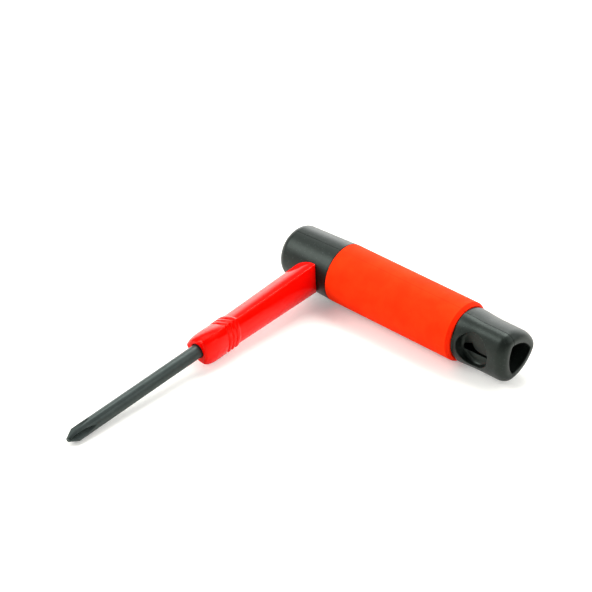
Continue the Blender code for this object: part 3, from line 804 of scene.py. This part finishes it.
def sleeve_nick(t):
    """A small wedge out of the sleeve's end, where the seam of the core meets it."""
    h = t.h
    y = -h.seam_forward
    start = t.sleeve_end - h.sleeve_clearance - h.nick_depth
    end = t.sleeve_end + h.nick_depth
    outline = ((start, y), (end, y - h.nick_width), (end, y + h.nick_width))
    heights = (h.grip_radius - h.sleeve_wall, h.grip_radius + h.nick_width)
    return loft("sleeve_nick", [[Vector((x, y, z)) for x, y in outline] for z in heights])


def make_sleeve(t, material):
    """The soft sleeve, rounded at the head, with a bevel and a nick at the tail."""
    h = t.h
    inner = t.core_radius + h.sleeve_clearance
    start = h.head_to_sleeve + h.sleeve_clearance
    end = t.sleeve_end - h.sleeve_clearance
    stations = [(start, inner)]
    for along, inwards in reversed(list(quarter_round(EDGE_STEPS))):
        stations.append((start + h.sleeve_edge * (1 - along), h.grip_radius - h.sleeve_edge * inwards))
    stations.append((start + h.sleeve_edge, h.grip_radius))
    slope = h.sleeve_bevel_drop / h.sleeve_bevel
    blend_start = end - h.sleeve_bevel - h.sleeve_bevel_blend
    for i in range(EDGE_STEPS + 1):
        share = i / EDGE_STEPS
        drop = slope * h.sleeve_bevel_blend * share * share
        stations.append((blend_start + 2 * h.sleeve_bevel_blend * share, h.grip_radius - drop))
    stations += [(end, h.grip_radius - h.sleeve_bevel_drop), (end, inner)]
    rings = [handle_ring(t, x, 0.0, radius) for x, radius in stations]
    piece = make_piece("soft_sleeve", skin("soft_sleeve", rings, closed=True), material)
    shape_piece(piece, [("DIFFERENCE", sleeve_nick(t))])
    fit(t, piece, "handle", "grip_sleeve")


# Carrier and blade


def carrier_stations(t):
    """(reach, width) along the carrier outside the head: taper, rounded grooves, nose and its end."""
    c = t.c
    first_groove = c.nose_reach - c.nose_to_groove - (c.groove_count - 1) * c.groove_pitch
    half = c.groove_width / 2
    start = t.head_radius / 2
    rib_start = first_groove - half
    taper = (c.root_width - c.waist_width) / (rib_start - t.head_radius)
    stations = [(start, c.root_width + taper * (t.head_radius - start))]
    for i in range(GROOVE_STEPS + 1):
        share = i / GROOVE_STEPS
        rise = ease(share) * (c.nose_width - c.waist_width)
        stations.append((rib_start + share * c.groove_width, c.waist_width + rise))
    for number in range(1, c.groove_count):
        middle = first_groove + number * c.groove_pitch
        for i in range(GROOVE_STEPS + 1):
            along = 2 * i / GROOVE_STEPS - 1
            drop = c.groove_depth * (1 + math.cos(math.pi * along))
            stations.append((middle + along * half, c.nose_width - drop))
    round_start = c.nose_reach - c.nose_round
    stations.append((round_start, c.nose_width))
    for along, inwards in quarter_round(NOSE_STEPS):
        width = c.nose_width - inwards * (c.nose_width - c.nose_face)
        stations.append((round_start + along * c.nose_round, width))
    return stations


def plug_rings(t):
    """Sections of the plug from its end inside the head, past the click groove, to inside the carrier."""
    c = t.c
    end = -c.plug_past_axis
    groove_start = c.spring_from_axis - c.click_groove_half
    groove_end = c.spring_from_axis + c.click_groove_half
    groove_width = c.plug_width - 2 * c.click_groove_depth
    stations = (
        (end, c.plug_width - 2 * c.plug_chamfer),
        (end + c.plug_chamfer, c.plug_width),
        (groove_start, c.plug_width),
        (groove_start, groove_width),
        (groove_end, groove_width),
        (groove_end, c.plug_width),
        (t.head_radius + CUT_PAST, c.plug_width),
    )
    return [width_ring(t, reach, width) for reach, width in stations]


def turned(name, profile):
    """A solid of revolution about the carrier's axis, from (reach, radius) pairs."""
    return loft(name, [carrier_ring(reach, 0.0, radius) for reach, radius in profile])


def wings(t, name, grow):
    """The flats at the blade's root that key it in the carrier."""
    b = t.b
    half_width = b.wing_width / 2 + grow
    half_thickness = b.wing_thickness / 2 + grow
    for number in range(b.wing_count):
        near = t.root_reach + b.wing_from_root + number * b.wing_pitch
        low = (-half_width, -near - b.wing_length - grow, -half_thickness)
        high = (half_width, -near + grow, half_thickness)
        yield block(f"{name}_{number}", low, high)


def blade_bed(t):
    """The shank's bed in the carrier, with a rounded mouth in the nose."""
    b = t.b
    root = t.root_reach - b.clearance
    radius = b.shank_radius + b.clearance
    profile = [(root, radius - b.root_chamfer), (root + b.root_chamfer, radius)]
    for grown, depth in mouth_steps(t.c.bed_round):
        profile.append((t.c.nose_reach - depth, radius + grown))
    profile.append((t.c.nose_reach + CUT_PAST, profile[-1][1]))
    return turned("blade_bed", profile)


def make_carrier(t, material):
    """The carrier: an arm that sits on the head, with its plug and the blade's bed."""
    arm = loft("red_carrier", [arm_ring(t, *station) for station in carrier_stations(t)])
    piece = make_piece("red_carrier", arm, material)
    gap = t.c.shoulder_clearance
    grown = [(x, spread, rounding + gap) for x, spread, rounding in core_sections(t)]
    saddle = loft("saddle", [handle_ring(t, *section) for section in grown])
    steps = [("DIFFERENCE", saddle), ("UNION", loft("plug", plug_rings(t))), ("DIFFERENCE", blade_bed(t))]
    steps += [("DIFFERENCE", mesh) for mesh in wings(t, "wing_bed", t.b.clearance)]
    shape_piece(piece, steps)
    fit(t, piece, "blade_unit", "blade_carrier")


def flute_depth(b, back):
    """Distance from the blade's axis to the bottom of a flute, at a distance back from the tip."""
    straight = b.flute_core + back * math.tan(b.flute_rise)
    past = back - b.flute_straight
    if past <= 0:
        return straight
    return straight + b.flute_wheel - math.sqrt(b.flute_wheel**2 - past**2)


def flute(t, number):
    """A V-shaped flute that rises slowly from the tip and runs out along the grinding wheel's arc."""
    b = t.b
    backs = [-CUT_PAST, b.flute_straight]
    backs += [b.flute_straight + b.flute_run_out * (i + 1) / FLUTE_STEPS for i in range(FLUTE_STEPS)]
    angle = b.flute_start + number * 2 * math.pi / b.flute_count
    outwards = Vector((math.cos(angle), 0.0, math.sin(angle)))
    across = Vector((-math.sin(angle), 0.0, math.cos(angle)))
    depth = b.shank_radius + CUT_PAST
    half_width = depth * math.tan(b.flute_angle / 2)
    rings = []
    for back in backs:
        bottom = Vector((0.0, back - t.tip_reach, 0.0)) + outwards * flute_depth(b, max(back, 0.0))
        side = outwards * depth
        rings.append([bottom, bottom + side + across * half_width, bottom + side - across * half_width])
    return loft(f"flute_{number}", rings)


def make_blade(t, material):
    """The blade: a turned shank with wings at its root and flutes in its point."""
    b = t.b
    profile = [
        (t.root_reach, b.shank_radius - b.root_chamfer),
        (t.root_reach + b.root_chamfer, b.shank_radius),
        (t.shoulder_reach, b.shank_radius),
        (t.tip_reach, b.point_flat),
    ]
    piece = make_piece("cross_blade", turned("cross_blade", profile), material)
    steps = [("UNION", mesh) for mesh in wings(t, "wing", 0.0)]
    steps += [("DIFFERENCE", flute(t, number)) for number in range(b.flute_count)]
    shape_piece(piece, steps)
    fit(t, piece, "blade_unit", "driver_blade")


# Shader nodes


def feed(tree, socket, value):
    """Links another node's output to a socket, or sets the socket to a plain value."""
    if isinstance(value, bpy.types.NodeSocket):
        tree.links.new(value, socket)
    else:
        socket.default_value = value


def feed_named(tree, node, inputs):
    """Feeds a node's inputs by their names, where an underscore stands for a space."""
    for name, value in inputs.items():
        feed(tree, node.inputs[name.replace("_", " ")], value)


def new_node(tree, kind, settings=None, **inputs):
    node = tree.nodes.new(kind)
    for name, value in (settings or {}).items():
        setattr(node, name, value)
    feed_named(tree, node, inputs)
    return node


def worked(tree, kind, operation, *values):
    """The outputs of a math node that works on the values in order."""
    node = new_node(tree, kind, {"operation": operation})
    for socket, value in zip(node.inputs, values):
        feed(tree, socket, value)
    return node.outputs


def mixed(tree, kind, factor, first, second):
    """Two values or two colours mixed by a mask, where kind is FLOAT or RGBA."""
    factor_at, first_at, second_at, result_at = MIX_SOCKETS[kind]
    mix = new_node(tree, "ShaderNodeMix", {"data_type": kind})
    for index, value in ((factor_at, factor), (first_at, first), (second_at, second)):
        feed(tree, mix.inputs[index], value)
    return mix.outputs[result_at]


def ranged(tree, value, low, high):
    """A value from 0 to 1 spread between two ends."""
    return new_node(tree, "ShaderNodeMapRange", Value=value, To_Min=low, To_Max=high).outputs["Result"]


def stepped(tree, value, start, end, low=0.0, high=1.0):
    """A smooth change from low to high as a value goes from start to end."""
    ends = {"From_Min": start, "From_Max": end, "To_Min": low, "To_Max": high}
    step = new_node(tree, "ShaderNodeMapRange", {"interpolation_type": "SMOOTHSTEP"}, Value=value, **ends)
    return step.outputs["Result"]


def noise(tree, vector, scale, detail, roughness=0.5):
    inputs = {"Vector": vector, "Scale": scale, "Detail": detail, "Roughness": roughness}
    return new_node(tree, "ShaderNodeTexNoise", **inputs).outputs["Fac"]


# Shader node groups, each built once


def fill_grain(tree, given):
    """Moulded or cast grain: a coarse and a fine noise as one height."""
    fine_scale = worked(tree, MATH, "MULTIPLY", given["Scale"], FINE_TO_COARSE)[0]
    coarse = noise(tree, given["Vector"], given["Scale"], detail=2.0)
    fine = noise(tree, given["Vector"], fine_scale, detail=1.0)
    return {"Height": mixed(tree, "FLOAT", given["Fine share"], coarse, fine)}


def fill_mottle(tree, given):
    """Cloudy change between two tones, with the mask that mixes them."""
    cloud = noise(tree, given["Vector"], given["Scale"], detail=5.0, roughness=0.6)
    mask = stepped(tree, cloud, *CLOUD_ENDS)
    return {"Colour": mixed(tree, "RGBA", mask, given["Deep"], given["Pale"]), "Mask": mask}


def fill_specks(tree, given):
    """Sparse small specks as a mask."""
    spots = noise(tree, given["Vector"], given["Scale"], detail=1.0)
    full = worked(tree, MATH, "ADD", given["Threshold"], SPECK_EDGE)[0]
    return {"Mask": stepped(tree, spots, given["Threshold"], full)}


def fill_lines(tree, given):
    """Fine lines left by drawing or rolling, stretched along one axis, as a height."""
    stretched = worked(tree, VECTOR_MATH, "MULTIPLY", given["Vector"], given["Stretch"])[0]
    return {"Height": noise(tree, stretched, scale=1.0, detail=3.0, roughness=0.6)}


def shared_group(name):
    """A node group by name, made and filled the first time that it is asked for."""
    tree = bpy.data.node_groups.get(name)
    if tree:
        return tree
    fill, inputs, outputs = SHADER_GROUPS[name]
    tree = bpy.data.node_groups.new(name, "ShaderNodeTree")
    for label, kind in inputs.items():
        tree.interface.new_socket(label, in_out="INPUT", socket_type=kind)
    for label, kind in outputs.items():
        tree.interface.new_socket(label, in_out="OUTPUT", socket_type=kind)
    given = tree.nodes.new("NodeGroupInput").outputs
    out = tree.nodes.new("NodeGroupOutput").inputs
    for label, result in fill(tree, given).items():
        tree.links.new(result, out[label])
    return tree


SHADER_GROUPS = {
    "Fine grain": (
        fill_grain,
        {"Vector": VECTOR_SOCKET, "Scale": FLOAT_SOCKET, "Fine share": FLOAT_SOCKET},
        {"Height": FLOAT_SOCKET},
    ),
    "Mottled tone": (
        fill_mottle,
        {"Vector": VECTOR_SOCKET, "Scale": FLOAT_SOCKET, "Deep": COLOUR_SOCKET, "Pale": COLOUR_SOCKET},
        {"Colour": COLOUR_SOCKET, "Mask": FLOAT_SOCKET},
    ),
    "Sparse specks": (
        fill_specks,
        {"Vector": VECTOR_SOCKET, "Scale": FLOAT_SOCKET, "Threshold": FLOAT_SOCKET},
        {"Mask": FLOAT_SOCKET},
    ),
    "Drawn lines": (
        fill_lines,
        {"Vector": VECTOR_SOCKET, "Stretch": VECTOR_SOCKET},
        {"Height": FLOAT_SOCKET},
    ),
}


def placed(tree, name, **inputs):
    """The outputs of a shared group in a material, with its own values."""
    node = new_node(tree, "ShaderNodeGroup", {"node_tree": shared_group(name)}, **inputs)
    return node.outputs


# Materials


def opaque(rgb):
    return (*rgb, 1.0)


def new_material(name, place):
    """An empty Principled material: its tree, its shader and coordinates along the tool's own axes."""
    material = bpy.data.materials.new(name)
    material.use_nodes = True
    tree = material.node_tree
    shader = tree.nodes["Principled BSDF"]
    lying = tree.nodes.new("ShaderNodeTexCoord").outputs["Object"]
    axes = {"Vector": lying, "Location": place.translation, "Rotation": place.to_euler()}
    own = new_node(tree, "ShaderNodeMapping", {"vector_type": "TEXTURE"}, **axes).outputs["Vector"]
    return material, tree, shader, own


def cloudy(tree, own, deep, pale, scale):
    """The outputs of a mottled tone between two colours."""
    return placed(tree, "Mottled tone", Vector=own, Scale=scale, Deep=opaque(deep), Pale=opaque(pale))


def dress(tree, shader, height, depth, **inputs):
    """Feeds a material's shader by name, with a bump of some depth from a height."""
    bump = new_node(tree, "ShaderNodeBump", Height=height, Distance=depth)
    feed_named(tree, shader, {"Normal": bump.outputs["Normal"], **inputs})


def core_plastic(finishes, place):
    """Satin black plastic with a fine moulded texture and a few pale specks."""
    material, tree, shader, own = new_material("black_core_plastic_dressed", place)
    tone = cloudy(tree, own, finishes.plastic_deep, finishes.plastic_pale, scale=420.0)["Colour"]
    speck = placed(tree, "Sparse specks", Vector=own, Scale=1500.0, Threshold=0.64)["Mask"]
    grain = placed(tree, "Fine grain", Vector=own, Scale=1900.0, Fine_share=0.35)["Height"]
    dress(
        tree,
        shader,
        grain,
        depth=0.03 * MM,
        Base_Color=mixed(tree, "RGBA", speck, tone, opaque(finishes.plastic_speck)),
        Roughness=ranged(tree, grain, low=0.26, high=0.46),
        Specular_IOR_Level=0.25,
        Specular_Tint=opaque(finishes.plastic_sheen),
    )
    return material


def sleeve_rubber(finishes, t):
    """Matte soft rubber, slightly cloudy, with a fine grain, a faint moulding line and painted shade on the
    bevel.
    """
    material, tree, shader, own = new_material("orange_red_rubber_dressed", t.place)
    tone = cloudy(tree, own, finishes.rubber_deep, finishes.rubber_pale, scale=110.0)["Colour"]
    grain = placed(tree, "Fine grain", Vector=own, Scale=1300.0, Fine_share=0.5)["Height"]
    axes = new_node(tree, "ShaderNodeSeparateXYZ", Vector=own).outputs
    past_seam = worked(tree, MATH, "ADD", axes["Y"], t.h.seam_forward)[0]
    from_seam = worked(tree, MATH, "ABSOLUTE", past_seam)[0]
    line = stepped(tree, from_seam, *SEAM_LINE, low=SEAM_SHARE, high=0.0)
    lined = mixed(tree, "RGBA", line, tone, opaque(finishes.rubber_seam))
    bevel_start = t.sleeve_end - t.h.sleeve_clearance - t.h.sleeve_bevel
    blend = t.h.sleeve_bevel_blend
    # Painted shade: the bevel at the tail's end is mixed towards a darker red, standing in for the lower
    # light there.
    bevel = stepped(tree, axes["X"], bevel_start - blend, bevel_start + blend, high=BEVEL_PAINTED_SHADE)
    dress(
        tree,
        shader,
        grain,
        depth=0.04 * MM,
        Base_Color=mixed(tree, "RGBA", bevel, lined, opaque(finishes.rubber_painted_bevel_shade)),
        Roughness=ranged(tree, grain, low=0.68, high=0.88),
        Specular_IOR_Level=0.06,
        Specular_Tint=opaque(finishes.rubber_sheen),
    )
    return material


def gloss_plastic(finishes, place):
    """Polished red plastic with a slightly wavy skin."""
    material, tree, shader, own = new_material("glossy_red_plastic_dressed", place)
    tone = cloudy(tree, own, finishes.gloss_deep, finishes.gloss_pale, scale=90.0)
    wave = placed(tree, "Fine grain", Vector=own, Scale=160.0, Fine_share=0.15)["Height"]
    dress(
        tree,
        shader,
        wave,
        depth=0.008 * MM,
        Base_Color=tone["Colour"],
        Roughness=ranged(tree, tone["Mask"], low=0.025, high=0.05),
        Specular_IOR_Level=0.1,
        Specular_Tint=opaque(finishes.gloss_sheen),
    )
    return material


def oxide_steel(finishes, place):
    """Black-oxide steel with fine lines along the shank."""
    material, tree, shader, own = new_material("black_oxide_steel_dressed", place)
    lines = placed(tree, "Drawn lines", Vector=own, Stretch=BLADE_LINES)["Height"]
    tone = cloudy(tree, own, finishes.steel_deep, finishes.steel_pale, scale=300.0)["Colour"]
    streak = ranged(tree, lines, low=0.0, high=0.8)
    dress(
        tree,
        shader,
        lines,
        depth=0.01 * MM,
        Base_Color=mixed(tree, "RGBA", streak, tone, opaque(finishes.steel_pale)),
        Roughness=ranged(tree, lines, low=0.28, high=0.5),
        Metallic=0.3,
        Specular_IOR_Level=0.32,
        Specular_Tint=opaque(finishes.steel_sheen),
    )
    return material


def strip_steel(finishes, place, name, stretch):
    """Bright rolled strip for the leaf springs."""
    material, tree, shader, own = new_material(name, place)
    lines = placed(tree, "Drawn lines", Vector=own, Stretch=stretch)["Height"]
    dress(
        tree,
        shader,
        lines,
        depth=0.005 * MM,
        Base_Color=mixed(tree, "RGBA", lines, opaque(finishes.strip_deep), opaque(finishes.strip_pale)),
        Roughness=ranged(tree, lines, low=0.22, high=0.4),
        Metallic=1.0,
    )
    return material


def floor_card(finishes, glow):
    """Pale floor that keeps its shadows, lifted to white where it is seen or mirrored."""
    material, tree, shader, own = new_material("floor_card", Matrix.Identity(4))
    shaded = [channel * FLOOR_SHADE for channel in finishes.floor]
    tone = cloudy(tree, own, shaded, finishes.floor, scale=6.0)["Colour"]
    feed_named(tree, shader, {"Base Color": tone, "Roughness": 0.9, "Specular IOR Level": 0.1})
    rays = tree.nodes.new("ShaderNodeLightPath").outputs
    seen = rays["Is Camera Ray"]
    for other in ("Is Glossy Ray", "Is Transmission Ray"):
        seen = worked(tree, MATH, "MAXIMUM", seen, rays[other])[0]
    strength = worked(tree, MATH, "MULTIPLY", seen, glow)[0]
    white = new_node(tree, "ShaderNodeEmission", Strength=strength)
    both = tree.nodes.new("ShaderNodeAddShader")
    tree.links.new(shader.outputs[0], both.inputs[0])
    tree.links.new(white.outputs[0], both.inputs[1])
    tree.links.new(both.outputs[0], tree.nodes["Material Output"].inputs["Surface"])
    return material


# Stage


def make_floor(stage, finishes):
    shape = bmesh.new()
    shape.faces.new([shape.verts.new((x, y, 0.0)) for x, y in circle(stage.floor_radius)])
    mesh = finish_mesh("floor", shape)
    floor = make_piece("floor", mesh, floor_card(finishes, stage.floor_glow))


def add_item(name, data, place, turned_by):
    item = bpy.data.objects.new(name, data)
    item.location = place
    item.rotation_euler = turned_by
    bpy.context.scene.collection.objects.link(item)
    return item


def make_key_lamp(stage):
    """A large round lamp that looks at the middle of the tool's footprint."""
    lamp = bpy.data.lights.new("key_lamp", "AREA")
    lamp.shape = "DISK"
    lamp.size = stage.key_size
    lamp.energy = stage.key
    place = Vector(stage.key_place)
    add_item("key_lamp", lamp, place, (-place).to_track_quat("-Z", "Y").to_euler())


def compass(azimuth, elevation):
    """The direction at an azimuth from +X and an elevation, both in degrees."""
    level = math.cos(math.radians(elevation))
    angle = math.radians(azimuth)
    return Vector((level * math.cos(angle), level * math.sin(angle), math.sin(math.radians(elevation))))


def make_sky(stage):
    """Dim sky, darker behind the camera, with soft lights round the tool."""
    world = bpy.data.worlds.new("studio")
    world.use_nodes = True
    tree = world.node_tree
    direction = tree.nodes.new("ShaderNodeTexCoord").outputs["Generated"]

    def along(axis):
        """How far the sky's direction points along an axis, from -1 to 1."""
        return worked(tree, VECTOR_MATH, "DOT_PRODUCT", direction, axis)["Value"]

    towards_camera = Vector((stage.eye[0], stage.eye[1], 0.0)).normalized()
    level = stepped(tree, along(towards_camera), *SKY_TURN, stage.sky_far, stage.sky_near)
    for name, (azimuth, elevation, inner, outer) in SKY_LIGHTS.items():
        ends = [math.cos(math.radians(angle)) for angle in (outer, inner)]
        spot = stepped(tree, along(compass(azimuth, elevation)), *ends, high=getattr(stage, name))
        level = worked(tree, MATH, "ADD", level, spot)[0]
    feed_named(tree, tree.nodes["Background"], {"Color": opaque(WHITE), "Strength": level})
    bpy.context.scene.world = world


def make_camera(stage):
    """The camera, at the photograph's viewing angle."""
    camera = bpy.data.cameras.new("photo_camera")
    camera.lens = stage.lens
    camera.sensor_width = SENSOR_WIDTH
    camera.clip_start, camera.clip_end = CLIP
    upright = (math.pi / 2 - stage.elevation, 0.0, stage.azimuth)
    bpy.context.scene.camera = add_item("photo_camera", camera, stage.eye, upright)


# Operators


class SCREWDRIVER_OT_stage(Operator):
    """Make the floor, lamp, sky and camera"""

    bl_idname = "screwdriver.stage"
    bl_label = "Stage"

    def execute(self, context):
        scene = context.scene
        stage = scene.screwdriver_stage
        scene.view_settings.view_transform = "Standard"
        make_floor(stage, scene.screwdriver_finishes)
        make_key_lamp(stage)
        make_sky(stage)
        make_camera(stage)
        return {"FINISHED"}


class SCREWDRIVER_OT_core(Operator):
    """Make the two moulded halves of the handle's core"""

    bl_idname = "screwdriver.core"
    bl_label = "Core shells"

    def execute(self, context):
        t = tool_settings()
        make_shells(t, core_plastic(context.scene.screwdriver_finishes, t.place))
        return {"FINISHED"}


class SCREWDRIVER_OT_sleeve(Operator):
    """Make the soft sleeve over the handle"""

    bl_idname = "screwdriver.sleeve"
    bl_label = "Soft sleeve"

    def execute(self, context):
        t = tool_settings()
        make_sleeve(t, sleeve_rubber(context.scene.screwdriver_finishes, t))
        return {"FINISHED"}


class SCREWDRIVER_OT_carrier(Operator):
    """Make the glossy three-lobed carrier with its plug"""

    bl_idname = "screwdriver.carrier"
    bl_label = "Carrier"

    def execute(self, context):
        t = tool_settings()
        make_carrier(t, gloss_plastic(context.scene.screwdriver_finishes, t.place))
        return {"FINISHED"}


class SCREWDRIVER_OT_blade(Operator):
    """Make the cross-point blade"""

    bl_idname = "screwdriver.blade"
    bl_label = "Blade"

    def execute(self, context):
        t = tool_settings()
        make_blade(t, oxide_steel(context.scene.screwdriver_finishes, t.place))
        return {"FINISHED"}


class SCREWDRIVER_OT_springs(Operator):
    """Give the leaf springs their rolled steel"""

    bl_idname = "screwdriver.springs"
    bl_label = "Leaf springs"

    def execute(self, context):
        finishes = context.scene.screwdriver_finishes
        lying = tool_settings().place
        for node, stretch in STRIP_LINES.items():
            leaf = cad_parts[node]
            leaf.data.materials.clear()
            leaf.data.materials.append(strip_steel(finishes, lying, f"{node}_strip", stretch))
        return {"FINISHED"}


class SCREWDRIVER_PT_panel(Panel):
    """Settings and steps of the screwdriver"""

    bl_idname = "SCREWDRIVER_PT_panel"
    bl_label = "Screwdriver"
    bl_space_type = "VIEW_3D"
    bl_region_type = "UI"
    bl_category = "Screwdriver"

    def draw(self, context):
        layout = self.layout
        for operator in OPERATORS:
            layout.operator(operator.bl_idname)
        for name, (group, label) in GROUPS.items():
            column = layout.column(align=True)
            column.label(text=label)
            for setting in group.__annotations__:
                column.prop(getattr(context.scene, name), setting)


OPERATORS = (
    SCREWDRIVER_OT_stage,
    SCREWDRIVER_OT_core,
    SCREWDRIVER_OT_sleeve,
    SCREWDRIVER_OT_springs,
    SCREWDRIVER_OT_carrier,
    SCREWDRIVER_OT_blade,
)

GROUPS = {
    "screwdriver_handle": (HandleSizes, "Handle"),
    "screwdriver_window": (WindowSizes, "Window"),
    "screwdriver_carrier": (CarrierSizes, "Carrier"),
    "screwdriver_blade": (BladeSizes, "Blade"),
    "screwdriver_finishes": (Finishes, "Finishes"),
    "screwdriver_stage": (StageSettings, "Stage"),
}


def register():
    for name, (group, _) in GROUPS.items():
        bpy.utils.register_class(group)
        setattr(bpy.types.Scene, name, PointerProperty(type=group))
    for operator in OPERATORS:
        bpy.utils.register_class(operator)
    bpy.utils.register_class(SCREWDRIVER_PT_panel)


def unregister():
    bpy.utils.unregister_class(SCREWDRIVER_PT_panel)
    for operator in reversed(OPERATORS):
        bpy.utils.unregister_class(operator)
    for name, (group, _) in reversed(list(GROUPS.items())):
        delattr(bpy.types.Scene, name)
        bpy.utils.unregister_class(group)


def main():
    register()
    bpy.ops.screwdriver.stage()
    bpy.ops.screwdriver.core()
    bpy.ops.screwdriver.sleeve()
    bpy.ops.screwdriver.springs()
    bpy.ops.screwdriver.carrier()
    bpy.ops.screwdriver.blade()


if __name__ == "__main__":
    main()
